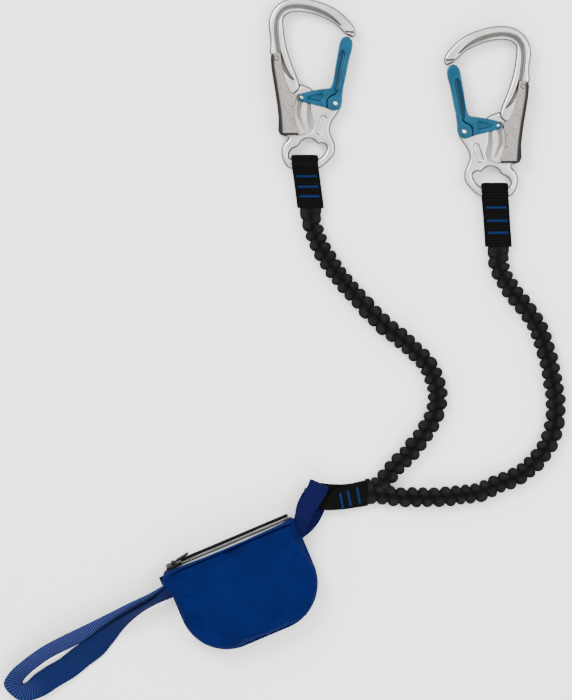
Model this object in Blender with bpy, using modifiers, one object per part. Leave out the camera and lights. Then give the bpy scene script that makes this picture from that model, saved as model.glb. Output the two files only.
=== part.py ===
"""Via ferrata lanyard: two palm-lever carabiners on ribbed elastic arms, sewn into one
webbing yoke that is linked to the loop of a tear-webbing energy absorber in a zipped pouch.

It lies on a flat surface, z = 0. Metres, +Z up, +Y towards the top of the photograph.
"""

import math

import bmesh
import bpy
from mathutils import Matrix, Vector

# The photograph gives the layout in plan: one pixel is 0.75 mm on the floor
PHOTO_SCALE = 0.00075
PHOTO_CENTRE_PX = (267.014, 350.711)
LEFT_PIVOT_PX = (335.3, 103.9)
RIGHT_PIVOT_PX = (464.0, 131.9)
POUCH_ARMS_CORNER_PX = (292.194, 514.004)
POUCH_HARNESS_CORNER_PX = (162.0, 569.0)
POUCH_TURN_DEG = 22.9

# Carabiner: outlines are drawn on a grid of 175 steps to its length, from the gate's pivot
CARABINER_LENGTH = 0.128
GRID_STEPS = 175
GRID = CARABINER_LENGTH / GRID_STEPS
PLATE_THICKNESS = 0.006
BOW_THICKNESS = 0.0105
EDGE_ROUND = 0.0012
FORK_WALL = 0.0022
RUN_CLEARANCE = 0.0003
GATE_WIDTH = PLATE_THICKNESS + 2 * (FORK_WALL + RUN_CLEARANCE)
GATE_ROUND = 0.0008
GROOVE_DEPTH = 0.0008
HOUSING_WALL = 0.001
HOUSING_ROUND = 0.0005
HOUSING_INNER = max(GATE_WIDTH, BOW_THICKNESS) / 2 + 0.4 * HOUSING_WALL
HOUSING_OUTER = HOUSING_INNER + HOUSING_WALL
GATE_PIN_DIAMETER = 0.0034
LATCH_PIN_DIAMETER = 0.0024
PALM_PIN_DIAMETER = 0.0034
LOCK_RIVET_DIAMETER = 0.0016
PIN_CLEARANCE = 0.00025
PIN_PROUD = 0.0003
LOCK_THICKNESS = 0.003
SPRING_WIRE = 0.0005
SPRING_TURNS = 2
SPRING_POCKET_DEPTH = 0.0024

# Webbing and straps
BLACK_WIDTH = 0.020
BLUE_WIDTH = 0.018
WEBBING_THICKNESS = 0.0019
WRAP_CLEARANCE = 0.0005
LAYER_GAP = 0.0006
LEFT_STRAP_LENGTH = 0.0314
RIGHT_STRAP_LENGTH = 0.0395
LEFT_STRAP_SLANT = 0.0045
RIGHT_STRAP_SLANT = 0.0030
TACK_WIDTH = 0.0024
TACK_HEIGHT = 0.0005
TACK_SPAN = 0.0150
TACK_PLACES_SHARES = (0.30, 0.55, 0.78)
SEAT_GAP = 0.0003

# Elastic arms
ARM_WIDTH = 0.0155
ARM_THICKNESS = 0.0105
ARM_FLAT_LENGTH = 0.012
ARM_YOKE_FLAT_LENGTH = 0.018
ARM_FLAT_THICKNESS = 0.0024
RIB_PITCH = 0.008
RIB_VALLEY_SHARE = 0.66
ARM_SIDES = 8
LEFT_ARM_ROUTE_PX = [
    (310.9, 206.2), (310.6, 213), (311.6, 222), (314.7, 232.9), (318.4, 242.9), (323.3, 252.7),
    (329, 261.6), (335.4, 271), (341.7, 278.8), (348.3, 287.4), (355.8, 295.5), (363.5, 303.5),
    (369.8, 311.3), (377.6, 318.7), (385.9, 326.5), (394.5, 333.3), (403.4, 340.2), (414.7, 351),
    (427.1, 363.8), (432, 373.4), (435.8, 383.6), (437.4, 394.4), (436.2, 410), (432, 420.2),
    (426.9, 428.8), (421.2, 438), (414.8, 446), (407.8, 454.6), (400.0, 462.0), (393.2, 469.6),
    (387, 477), (380.8, 483.4), (374.4, 487.9), (366.6, 489.4),
]
RIGHT_ARM_ROUTE_PX = [
    (498.4, 245.0), (498.4, 254), (498.8, 264), (502.1, 274.2), (507.3, 283.6), (513.6, 293),
    (520.6, 302.1), (527.6, 310.9), (533.3, 319.4), (538.5, 329), (543, 340), (546, 350.6),
    (549, 361.5), (551.2, 372.1), (553.3, 383), (555.2, 394), (555.9, 406), (556, 412),
    (555, 423.5), (552, 434), (548, 444), (542.6, 452.8), (535.6, 461.5), (528.3, 468.4),
    (520, 474.8), (510, 479.5), (497, 484.5), (480, 492), (460, 495), (440, 497), (420, 497.5),
    (400, 497), (384, 494.9), (367.2, 493.4),
]

# Yoke and blue loops: stations of (pixel x, pixel y, height share, width share, turn, rise)
YOKE_BACK_HEIGHT = 0.0014
YOKE_FRONT_HEIGHT = 0.0086
YOKE_SEWN_BACK_HEIGHT = 0.0023
YOKE_SEWN_FRONT_HEIGHT = 0.0056

# Pouch
POUCH_WIDTH = 0.106
POUCH_HEIGHT = 0.0785
POUCH_THICKNESS = 0.024
POUCH_WALL = 0.0012
POUCH_CORNER = 0.032
POUCH_TOP_CORNER = 0.004
POUCH_RIM_INSET = 0.011
TAB_LENGTH = 0.007
TAB_REACH = 0.004
HARNESS_EXIT_DROP = 0.0169
ARMS_EXIT_DROP = 0.0114
ARMS_TAIL_DROP_SHARES = (1.41, 1.41, 1.38, 1.28, 1.14, 1.0)
ZIP_TILT_DEG = 18.0
ZIP_DEPTH = 0.003
ZIP_HEIGHT = 0.012
TAPE_WIDTH = 0.0068
TAPE_THICKNESS = 0.0008
TEETH_WIDTH = 0.0016
TEETH_HEIGHT = 0.0022
TEETH_SLIT = 0.0009
SLIDER_LENGTH = 0.012
SLIDER_WIDTH = 0.0075
SLIDER_PLATE = 0.001
ZIP_BOX_LENGTH = 0.004
ZIP_END_MARGIN = 0.0035
PULLER_LENGTH = 0.0135
PULLER_WIDTH = 0.004
PULLER_THICKNESS = 0.001
PULLER_LIFT_DEG = 10.0
HINGE_PIN_DIAMETER = 0.001
HINGE_LUG = 0.001
HINGE_RISE = 0.0016

# Energy absorber inside the pouch
PACK_RUNS = 10
PACK_RUN_LENGTH = 0.070
PACK_PITCH = 0.0026
BAND_WIDTH = 0.012
BAND_THICKNESS = 0.0006
TAIL_GAP = 0.0030
OVERRUN = 0.05

FRAME_BOW_SHARES = [
    (-20.0, 73.0), (-16.6, 76.6), (-5.7, 86.0), (9.6, 97.5), (23.3, 103.6), (36.4, 106.6),
    (47.8, 105.9), (57.8, 101.3), (64.7, 93.6), (67.7, 84.5), (67.7, 76), (66.6, 66.9),
    (67.0, 59.2), (67.3, 52.8), (66.2, 49.7), (63.9, 48.0), (63.6, 42), (62.1, 31.9),
    (58.6, 16), (57.2, 10.4), (54.5, 8.6), (50, 8.3), (45, 8.6), (41.6, 10.6), (38.4, 13.4),
    (36.6, 16.2), (36.6, 19.8), (37.7, 24.0), (39.6, 29.2), (44, 40.1), (47.8, 51.5), (50.9, 63),
    (52.4, 74.5), (53.2, 86), (50.1, 90.6), (44, 93.6), (32.5, 93.6), (17.2, 89.8), (1.9, 82.2),
    (-5.0, 76.0), (-8.8, 72.6), (-13.6, 70.4), (-18.6, 69.8),
]
FRAME_PLATE_SHARES = [
    (46, 22), (54, 22), (57, 18), (57.0, 12), (55.9, 3.8), (52.7, -14), (50.4, -31.0),
    (48.4, -35.6), (52.2, -39.6), (55.0, -45.3), (55.3, -52.3), (53.3, -59.3), (49.6, -64.8),
    (44.9, -66.5), (38, -66.6), (25, -66.6), (17.5, -66.3), (12, -63.6), (6.3, -58.3),
    (1.4, -52.3), (0, -46.7), (0.7, -40.4), (3.5, -33.3), (5.3, -28.4), (4.9, -22.8),
    (2.1, -16.5), (-1.8, -11.0), (-5.6, -4.6), (-6.6, 0), (-5.4, 4.2), (-1.5, 7.0), (5, 8),
    (12, 8.6), (19, 11.2), (27, 17.4), (36, 20.6),
]
EYE_SHARES = [
    (9.1, -45.9), (10.2, -42.1), (14.1, -40.4), (17.6, -41.1), (20.4, -38.6), (23.2, -36.4),
    (27.4, -35.4), (31.6, -36.4), (35.1, -39), (37.6, -43), (41.4, -45.0), (44.9, -47.2),
    (47.2, -50.9), (47.3, -54.2), (45.4, -56.0), (36, -56.1), (25, -56.1), (18, -56.0),
    (13.5, -53.6),
]
CAVITY_SHARES = [
    (25.8, 4), (28, 9.3), (38.5, 9.3), (40.4, 5.6), (47.3, 5.4), (47.3, -6), (47.2, -18),
    (45.4, -25.6), (41.8, -30.9), (38.3, -32), (32.6, -32.2), (26.4, -30.4), (22.8, -26.5),
    (21.8, -22.8), (22.6, -17), (24.7, -10.2), (25.0, -3.2),
]
OBLONG_ENDS_SHARES = [(12.3, -15.1), (16.5, -28.4)]
OBLONG_RADIUS = 0.0024
GATE_SHARES = [
    (-15.6, 59.5), (-14.6, 64.2), (-11.2, 67.4), (-7.4, 66.2), (-5.2, 62.5), (-4.2, 55.4),
    (-1.1, 40.1), (0.4, 31.9), (1.8, 24.9), (3.4, 18.4), (6.2, 15.9), (14.1, 14.9),
    (24.6, 13.2), (33.0, 10.9), (36.6, 9.3), (38.1, 6.6), (37.4, 4.0), (35.1, 2.5), (22.5, -1.1),
    (12, -3.6), (7.5, -5.4), (2.5, -7.2), (-2.5, -6.6), (-5.8, -3.0), (-7.0, 2), (-7.2, 8),
    (-7.7, 17.9), (-8.8, 24.8), (-11.9, 43.9), (-14.6, 53.4),
]
GATE_GROOVE_ENDS_SHARES = [(-10.2, 56), (-3.2, 24)]
GATE_RECESS_SHARES = [(13.0, 9.3), (17.5, 9.9), (27.9, 7.0), (27.9, 5.2), (16.2, 2.4), (13.2, 3.4)]
FORK_TOP_SHARE = 17.5
LATCH_PIN_SHARES = (34.5, 6.2)
PALM_PIN_SHARES = (60.1, 46.2)
HOUSING_SHARES = [
    (56.3, 50.6), (60.5, 52.2), (64.5, 50.6), (66.2, 47.7), (65.9, 40), (64.9, 31.9),
    (60.4, 3.8), (58.3, -14), (56.9, -31.2), (37.9, -31.2), (40.2, -22.8), (41.9, -13.7),
    (42.2, -6.7), (40.9, 1.0), (39.6, 8.0), (41.4, 8.9), (44.9, 11.6), (49.1, 19.3),
    (51.2, 24.5), (54.7, 40.1),
]
HOUSING_HOLLOW_SHARES = [
    (75, 47.4), (64.7, 47.2), (64.5, 40), (63.5, 31.9), (59.0, 3.8), (56.9, -14),
    (55.5, -31), (55.2, -40), (25, -40), (25, 60), (75, 60),
]
LOCK_PLATE_SHARES = [
    (29, 1.5), (29.9, 3), (32.8, 3), (33.8, 0.5), (34.4, -2), (35.0, -6), (35.2, -10),
    (34.7, -13), (33.3, -17), (31.3, -22), (30.3, -25.6), (31.3, -27), (33.0, -26),
    (34.8, -22), (37.2, -16.5), (39.2, -13), (39.8, -10), (39.7, -6), (39.1, -2), (38.8, 2.0),
    (39.6, 3.2), (45.6, 3.2), (46.5, 2), (46.5, -17.6), (44.5, -24.8), (41, -29.6), (38, -30.8),
    (33, -31.0), (29.6, -29.6), (27.9, -26.6), (28.4, -22), (28.9, -18), (29.5, -10.2),
    (28.9, -2.5),
]
LOCK_RIVETS_SHARES = [(43.9, -3.5), (43.9, -16.0)]
BAR_CENTRE_SHARES = (31.4, -61.35)
BAR_HALF_SHARE = 5.25

BAR_HALF = BAR_HALF_SHARE * GRID
BAR_REACH = (
    math.hypot(BAR_HALF - EDGE_ROUND, PLATE_THICKNESS / 2 - EDGE_ROUND) + EDGE_ROUND
)
WRAP_RADIUS = BAR_REACH + WRAP_CLEARANCE + WEBBING_THICKNESS / 2
MID_HEIGHT = max(HOUSING_OUTER, WRAP_RADIUS + WEBBING_THICKNESS / 2 + SEAT_GAP)
ARM_HEIGHT = ARM_THICKNESS / 2 + SEAT_GAP

PARTS = bpy.data.collections.new("via_ferrata_lanyard")
CUTTERS = bpy.data.collections.new("cutters")
MATERIALS = {}


def clear_scene():
    for obj in list(bpy.data.objects):
        bpy.data.objects.remove(obj, do_unlink=True)
    bpy.context.scene.collection.children.link(PARTS)
    bpy.context.scene.collection.children.link(CUTTERS)


def material(name, colour, roughness, metallic):
    made = bpy.data.materials.new(name)
    made.use_nodes = True
    shader = made.node_tree.nodes["Principled BSDF"]
    shader.inputs["Base Color"].default_value = (*colour, 1)
    shader.inputs["Roughness"].default_value = roughness
    shader.inputs["Metallic"].default_value = metallic
    MATERIALS[name] = made


def make_materials():
    material("forged_aluminium", (0.72, 0.73, 0.75), 0.32, 1.0)
    material("blue_anodised", (0.03, 0.22, 0.36), 0.35, 0.8)
    material("housing_alloy", (0.36, 0.33, 0.31), 0.45, 0.9)
    material("pin_steel", (0.62, 0.63, 0.65), 0.3, 1.0)
    material("black_webbing", (0.015, 0.015, 0.017), 0.8, 0.0)
    material("blue_webbing", (0.01, 0.04, 0.30), 0.7, 0.0)
    material("blue_thread", (0.02, 0.12, 0.35), 0.6, 0.0)
    material("pouch_fabric", (0.004, 0.03, 0.32), 0.75, 0.0)
    material("zip_grey", (0.45, 0.46, 0.47), 0.5, 0.2)
    material("zip_black", (0.02, 0.02, 0.02), 0.4, 0.3)


def floor_place(pixel):
    """The photograph's pixel as a place on the floor plan."""
    return Vector(
        (
            (pixel[0] - PHOTO_CENTRE_PX[0]) * PHOTO_SCALE,
            (PHOTO_CENTRE_PX[1] - pixel[1]) * PHOTO_SCALE,
            0,
        )
    )


def on_grid(shares):
    return [Vector((x * GRID, y * GRID)) for x, y in shares]


def spline_point(a, b, c, d, t):
    """A Catmull-Rom curve's value between b and c."""
    return 0.5 * (
        2 * b + (c - a) * t + (2 * a - 5 * b + 4 * c - d) * t * t + (3 * b - a - 3 * c + d) * t**3
    )


def smooth(points, steps, closed):
    """The points of a smooth curve through these ones, steps to a span."""
    count = len(points)
    spans = count if closed else count - 1
    found = []
    for i in range(spans):
        if closed:
            a, b, c, d = (points[(i + k) % count] for k in (-1, 0, 1, 2))
        else:
            a, b, c, d = (points[min(max(i + k, 0), count - 1)] for k in (-1, 0, 1, 2))
        found += [spline_point(a, b, c, d, k / steps) for k in range(steps)]
    return found if closed else found + [points[-1]]


def place_object(name, mesh, look, parent, location=(0, 0, 0), cutter=False):
    obj = bpy.data.objects.new(name, mesh)
    (CUTTERS if cutter else PARTS).objects.link(obj)
    obj.parent = parent
    obj.location = location
    if cutter:
        obj.hide_render = True
        obj.display_type = "WIRE"
    else:
        mesh.materials.clear()
        mesh.materials.append(MATERIALS[look])
        mesh.shade_smooth()
        mesh.set_sharp_from_angle(angle=math.radians(35))
    return obj


def empty(name, parent, location, rotation=(0, 0, 0)):
    made = bpy.data.objects.new(name, None)
    PARTS.objects.link(made)
    made.parent = parent
    made.location = location
    made.rotation_euler = rotation
    return made


def outline_mesh(name, outline, thickness, rounding=0.0, origin=(0, 0), hole=()):
    """A flat clockwise outline with its thickness, rounded rims and one hole, about its origin."""
    curve = bpy.data.curves.new(name, "CURVE")
    curve.dimensions = "2D"
    curve.fill_mode = "BOTH"
    curve.extrude = thickness / 2 - rounding
    curve.bevel_depth = rounding
    curve.bevel_resolution = 0
    curve.offset = -rounding
    for line in (outline, hole[::-1]):
        if not line:
            continue
        spline = curve.splines.new("POLY")
        spline.points.add(len(line) - 1)
        for point, place in zip(spline.points, line):
            point.co = (place[0] - origin[0], place[1] - origin[1], 0, 1)
        spline.use_cyclic_u = True
    holder = bpy.data.objects.new(name, curve)
    bpy.context.scene.collection.objects.link(holder)
    graph = bpy.context.evaluated_depsgraph_get()
    mesh = bpy.data.meshes.new_from_object(holder.evaluated_get(graph))
    bpy.data.objects.remove(holder)
    bpy.data.curves.remove(curve)
    shape = bmesh.new()
    shape.from_mesh(mesh)
    bmesh.ops.remove_doubles(shape, verts=shape.verts, dist=RUN_CLEARANCE / 30)
    bmesh.ops.recalc_face_normals(shape, faces=shape.faces)
    shape.to_mesh(mesh)
    shape.free()
    return mesh


def cylinder_mesh(name, radius, length, sides=20, axis="Z"):
    shape = bmesh.new()
    turn = {"Z": Matrix(), "X": Matrix.Rotation(math.pi / 2, 4, "Y")}[axis]
    bmesh.ops.create_cone(
        shape, cap_ends=True, segments=sides, radius1=radius, radius2=radius, depth=length, matrix=turn
    )
    mesh = bpy.data.meshes.new(name)
    shape.to_mesh(mesh)
    shape.free()
    return mesh


def box_mesh(name, low, high):
    shape = bmesh.new()
    bmesh.ops.create_cube(shape, size=1)
    for vert in shape.verts:
        vert.co = [a + (b - a) * (c + 0.5) for a, b, c in zip(low, high, vert.co)]
    mesh = bpy.data.meshes.new(name)
    shape.to_mesh(mesh)
    shape.free()
    return mesh


def combine(obj, other, operation):
    change = obj.modifiers.new(other.name, "BOOLEAN")
    change.operation = operation
    change.object = other
    change.solver = "EXACT"


def cut(obj, mesh, parent, location=(0, 0, 0)):
    combine(obj, place_object("cutter_" + mesh.name, mesh, None, parent, location, True), "DIFFERENCE")


def join(obj, mesh, parent, location=(0, 0, 0)):
    combine(obj, place_object("adder_" + mesh.name, mesh, None, parent, location, True), "UNION")


def capsule(ends, radius, sides=6):
    """The outline of a slot with round ends."""
    start, end = ends
    along = (end - start).angle_signed(Vector((1, 0)))
    points = []
    for centre, first in ((end, -math.pi / 2), (start, math.pi / 2)):
        for k in range(sides + 1):
            angle = along + first + math.pi * k / sides
            points.append(centre + radius * Vector((math.cos(angle), math.sin(angle))))
    return points


def loft(name, rings):
    """A closed body through rings of like count, with flat ends."""
    shape = bmesh.new()
    rows = [[shape.verts.new(p) for p in ring] for ring in rings]
    count = len(rings[0])
    for low, high in zip(rows, rows[1:]):
        for k in range(count):
            shape.faces.new((low[k], low[(k + 1) % count], high[(k + 1) % count], high[k]))
    shape.faces.new(rows[0][::-1])
    shape.faces.new(rows[-1])
    bmesh.ops.recalc_face_normals(shape, faces=shape.faces)
    mesh = bpy.data.meshes.new(name)
    shape.to_mesh(mesh)
    shape.free()
    return mesh


def ribbon(name, stations, look, parent=None, thickness=WEBBING_THICKNESS, steps=4):
    """Webbing through stations of (place, half width vector), as an open strip with Solidify."""
    places = smooth([s[0] for s in stations], steps, False)
    halves = smooth([s[1] for s in stations], steps, False)
    shape = bmesh.new()
    rows = []
    for place, half in zip(places, halves):
        rows.append([shape.verts.new(place + half * side) for side in (-1, 1)])
    for low, high in zip(rows, rows[1:]):
        shape.faces.new((low[0], low[1], high[1], high[0]))
    mesh = bpy.data.meshes.new(name)
    shape.to_mesh(mesh)
    shape.free()
    obj = place_object(name, mesh, look, parent)
    wall = obj.modifiers.new("webbing", "SOLIDIFY")
    wall.thickness = thickness
    wall.offset = 0
    wall.use_even_offset = True
    return obj


def half_width(width, turn_deg, rise_deg=0.0):
    """Half the webbing's width as a vector, turned in plan and raised on edge."""
    turn, rise = math.radians(turn_deg), math.radians(rise_deg)
    way = Vector((math.cos(rise) * math.cos(turn), math.cos(rise) * math.sin(turn), math.sin(rise)))
    return way * width / 2


def pocket_spring(name, frame, centre, top):
    """A torsion spring's coils round a pin, in a round pocket sunk from the frame's face."""
    pin = {"gate": GATE_PIN_DIAMETER, "palm": PALM_PIN_DIAMETER}[name.split("_")[0]]
    coil = pin / 2 + RUN_CLEARANCE + SPRING_WIRE / 2
    pocket = coil + SPRING_WIRE / 2 + RUN_CLEARANCE
    depth = SPRING_POCKET_DEPTH
    label = f"pocket_{name}"
    cut(
        frame,
        cylinder_mesh(label, pocket, depth + OVERRUN),
        frame.parent,
        (*centre, top - depth + (depth + OVERRUN) / 2),
    )
    room = depth - 2 * RUN_CLEARANCE - SPRING_WIRE
    curve = bpy.data.curves.new(name, "CURVE")
    curve.dimensions = "3D"
    curve.bevel_depth = SPRING_WIRE / 2
    curve.bevel_resolution = 1
    curve.use_fill_caps = True
    spline = curve.splines.new("POLY")
    steps = 9 * SPRING_TURNS
    spline.points.add(steps)
    for k, point in enumerate(spline.points):
        angle = 2 * math.pi * SPRING_TURNS * k / steps
        height = top - depth + RUN_CLEARANCE + SPRING_WIRE / 2 + room * k / steps
        point.co = (
            centre[0] + coil * math.cos(angle),
            centre[1] + coil * math.sin(angle),
            height,
            1,
        )
    obj = bpy.data.objects.new(name, curve)
    PARTS.objects.link(obj)
    curve.materials.append(MATERIALS["pin_steel"])
    obj.parent = frame.parent


def carabiner(side, pivot_px, flip):
    """One carabiner: its frame swings in the strap, the gate and palm lever turn on their pins."""
    bar = Vector(BAR_CENTRE_SHARES) * GRID
    palm = Vector(PALM_PIN_SHARES) * GRID
    latch = Vector(LATCH_PIN_SHARES) * GRID
    turn = math.pi if flip else 0.0
    pivot = floor_place(pivot_px) + Vector((0, 0, MID_HEIGHT))
    out = Vector((-bar.x if flip else bar.x, bar.y, 0))
    swing = empty(f"swing_{side}", None, pivot + out, (0, turn, 0))
    home = empty(f"body_{side}", swing, (-bar.x, -bar.y, 0))
    gate_axis = empty(f"gate_axis_{side}", home, (0, 0, 0))
    palm_axis = empty(f"palm_axis_{side}", home, (palm.x, palm.y, 0))
    make_frame(side, home, palm)
    make_gate(side, home, gate_axis, latch)
    make_palm_lever(side, palm_axis, palm)
    return swing


def bore(obj, label, parent, centre, diameter):
    radius = diameter / 2 + PIN_CLEARANCE
    cut(obj, cylinder_mesh(label, radius, OVERRUN), parent, (centre[0], centre[1], 0))


def make_frame(side, home, palm):
    name = f"frame_{side}"
    bow = smooth(on_grid(FRAME_BOW_SHARES), 2, True)
    frame = place_object(
        name, outline_mesh(name, bow, BOW_THICKNESS, EDGE_ROUND), "forged_aluminium", home
    )
    plate = smooth(on_grid(FRAME_PLATE_SHARES), 2, True)
    eye = smooth(on_grid(EYE_SHARES), 2, True)
    join(
        frame,
        outline_mesh(f"plate_{side}", plate, PLATE_THICKNESS, EDGE_ROUND, hole=eye),
        home,
    )
    cut(frame, outline_mesh(f"cavity_{side}", on_grid(CAVITY_SHARES), OVERRUN), home)
    recess = PLATE_THICKNESS / 2 - 1.5 * GROOVE_DEPTH
    oblong = outline_mesh(
        f"oblong_{side}", capsule(on_grid(OBLONG_ENDS_SHARES), OBLONG_RADIUS), OVERRUN
    )
    for sign in (-1, 1):
        copy = oblong.copy()
        copy.name = f"oblong_{side}_{'front' if sign > 0 else 'back'}"
        cut(frame, copy, home, (0, 0, sign * (recess + OVERRUN / 2)))
    bore(frame, f"gate_bore_{side}", home, (0, 0), GATE_PIN_DIAMETER)
    bore(frame, f"palm_bore_{side}", home, palm, PALM_PIN_DIAMETER)
    pocket_spring(f"gate_spring_{side}", frame, (0, 0), PLATE_THICKNESS / 2)
    pocket_spring(f"palm_spring_{side}", frame, palm, BOW_THICKNESS / 2)
    gate_pin = cylinder_mesh("gate_pin", GATE_PIN_DIAMETER / 2, GATE_WIDTH + 2 * PIN_PROUD)
    place_object(f"gate_pin_{side}", gate_pin, "pin_steel", home)
    palm_pin = cylinder_mesh("palm_pin", PALM_PIN_DIAMETER / 2, 2 * HOUSING_OUTER - PIN_PROUD)
    place_object(f"palm_pin_{side}", palm_pin, "pin_steel", home, (palm.x, palm.y, 0))


def make_gate(side, home, axis, latch):
    name = f"gate_{side}"
    outline = smooth(on_grid(GATE_SHARES), 2, True)
    gate = place_object(
        name, outline_mesh(name, outline, GATE_WIDTH, GATE_ROUND), "blue_anodised", axis
    )
    slot = PLATE_THICKNESS / 2 + RUN_CLEARANCE
    top = FORK_TOP_SHARE * GRID
    cut(
        gate,
        box_mesh(f"fork_{side}", (-OVERRUN, -OVERRUN, -slot), (OVERRUN, top, slot)),
        axis,
    )
    groove = capsule(on_grid(GATE_GROOVE_ENDS_SHARES), 2 * GATE_ROUND)
    recess = on_grid(GATE_RECESS_SHARES)
    for sign in (-1, 1):
        face = "front" if sign > 0 else "back"
        height = sign * (GATE_WIDTH / 2 - GROOVE_DEPTH + OVERRUN / 2)
        for label, shape in (("groove", groove), ("recess", recess)):
            cut(gate, outline_mesh(f"gate_{label}_{face}_{side}", shape, OVERRUN), axis, (0, 0, height))
    bore(gate, f"pivot_bore_{side}", axis, (0, 0), GATE_PIN_DIAMETER)
    bore(gate, f"latch_bore_{side}", axis, latch, LATCH_PIN_DIAMETER)
    pin = cylinder_mesh("latch_pin", LATCH_PIN_DIAMETER / 2, GATE_WIDTH + PIN_PROUD, 16)
    place_object(f"latch_pin_{side}", pin, "pin_steel", axis, (latch.x, latch.y, 0))


def make_palm_lever(side, axis, palm):
    name = f"palm_lever_{side}"
    housing = smooth(on_grid(HOUSING_SHARES), 2, True)
    lever = place_object(
        name,
        outline_mesh(name, housing, 2 * HOUSING_OUTER, HOUSING_ROUND, palm),
        "housing_alloy",
        axis,
    )
    hollow = outline_mesh(
        f"channel_{side}", on_grid(HOUSING_HOLLOW_SHARES), 2 * HOUSING_INNER, 0.0, palm
    )
    cut(lever, hollow, axis)
    bore(lever, f"lever_bore_{side}", axis, (0, 0), PALM_PIN_DIAMETER)
    name = f"lock_plate_{side}"
    outline = on_grid(LOCK_PLATE_SHARES)
    lock = place_object(
        name, outline_mesh(name, outline, LOCK_THICKNESS, 0.0, palm), "forged_aluminium", axis
    )
    for label, share in zip(("upper", "lower"), LOCK_RIVETS_SHARES):
        centre = Vector(share) * GRID - palm
        bore(lever, f"rivet_bore_{label}_{side}", axis, centre, LOCK_RIVET_DIAMETER)
        bore(lock, f"lock_bore_{label}_{side}", axis, centre, LOCK_RIVET_DIAMETER)
        rivet = cylinder_mesh(
            "lock_rivet", LOCK_RIVET_DIAMETER / 2, 2 * HOUSING_OUTER - PIN_PROUD, 12
        )
        place_object(
            f"lock_rivet_{label}_{side}", rivet, "pin_steel", axis, (centre.x, centre.y, 0)
        )


def strap(side, swing, length, slant):
    """The webbing loop round the carabiner's bar, its two layers sewn together below it."""
    bar = Vector(swing.location)
    spread = (WEBBING_THICKNESS + LAYER_GAP) / 2
    end = ARM_HEIGHT - MID_HEIGHT
    sewn = 0.45 * length
    open_deg = 112
    leave = -WRAP_RADIUS * math.cos(math.radians(open_deg))
    above = WRAP_RADIUS * math.sin(math.radians(open_deg))
    profile = [(-length, end + spread), (-sewn, end + spread)]
    for k in range(13):
        angle = math.radians(open_deg - 2 * open_deg * k / 12)
        profile.append((WRAP_RADIUS * math.cos(angle), WRAP_RADIUS * math.sin(angle)))
    profile += [(-sewn, end - spread), (-length, end - spread)]
    half = Vector((BLACK_WIDTH / 2, 0, 0))
    stations = []
    for y, z in profile:
        shift = slant * min(max(-y / length, 0), 1)
        stations.append((bar + Vector((shift, y, z)), half))
    ribbon(f"strap_{side}", stations, "black_webbing", steps=1)
    top = end + spread + WEBBING_THICKNESS / 2 + SEAT_GAP
    drop = above - end - spread
    for number, share in enumerate(TACK_PLACES_SHARES, 1):
        lift = drop * max(sewn - share * length, 0) / (sewn - leave)
        slope = math.atan2(drop, sewn - leave) if lift else 0
        pad = box_mesh(
            "bar_tack", (-TACK_SPAN / 2, -TACK_WIDTH / 2, 0), (TACK_SPAN / 2, TACK_WIDTH / 2, TACK_HEIGHT)
        )
        obj = place_object(f"strap_{side}_tack_{number}", pad, "blue_thread", None)
        tilt_gap = SEAT_GAP * (1 if lift else 0)
        obj.location = bar + Vector((slant * share, -share * length, top + lift + tilt_gap))
        obj.rotation_euler = (slope, 0, 0)


def resample(points, step):
    """Points at even steps of about this size along a fine line."""
    ways = [(b - a).length for a, b in zip(points, points[1:])]
    count = max(2, round(sum(ways) / step))
    each = sum(ways) / count
    found, along, i = [points[0]], 0.0, 0
    for k in range(1, count):
        while along + ways[i] < k * each:
            along += ways[i]
            i += 1
        found.append(points[i].lerp(points[i + 1], (k * each - along) / ways[i]))
    return found + [points[-1]]


def arm(name, route_px, start_height, end_height):
    """A ribbed elastic arm: crests and valleys in turn, with flat sewn ends."""
    line = smooth([floor_place(p) for p in route_px], 6, False)
    line = resample(line, RIB_PITCH / 2)
    total = (len(line) - 1) * RIB_PITCH / 2
    rings = []
    for k, place in enumerate(line):
        at = k * RIB_PITCH / 2
        way = (line[min(k + 1, len(line) - 1)] - line[max(k - 1, 0)]).normalized()
        across = Vector((-way.y, way.x, 0))
        full_start = min(max((at - ARM_FLAT_LENGTH / 2) / ARM_FLAT_LENGTH, 0), 1)
        full_end = min(max((total - at - ARM_YOKE_FLAT_LENGTH) / ARM_FLAT_LENGTH, 0), 1)
        full = min(full_start, full_end)
        ribbed = full * (1 if k % 2 else RIB_VALLEY_SHARE) + (1 - full)
        width = ARM_WIDTH / 2 * ribbed
        thick = ARM_FLAT_THICKNESS / 2 * (1 - full) + ARM_THICKNESS / 2 * full * (0.5 + 0.5 * ribbed)
        flat_height = start_height if full_start < 1 else end_height
        height = flat_height * (1 - full) + ARM_HEIGHT * full
        centre = Vector((place.x, place.y, height))
        ring = []
        for n in range(ARM_SIDES):
            angle = 2 * math.pi * (n + 0.5) / ARM_SIDES
            ring.append(centre + across * width * math.cos(angle) + Vector((0, 0, thick * math.sin(angle))))
        rings.append(ring)
    place_object(name, loft(name, rings), "black_webbing", None)


def make_arms():
    arm("arm_left", LEFT_ARM_ROUTE_PX, ARM_HEIGHT, YOKE_SEWN_BACK_HEIGHT)
    arm("arm_right", RIGHT_ARM_ROUTE_PX, ARM_HEIGHT, YOKE_SEWN_FRONT_HEIGHT)


def stations_px(rows, width):
    """Ribbon stations from (pixel x, pixel y, height, width share, turn, rise)."""
    found = []
    for x, y, height, share, turn, rise in rows:
        place = floor_place((x, y)) + Vector((0, 0, height))
        found.append((place, half_width(width * share, turn, rise)))
    return found


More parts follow.
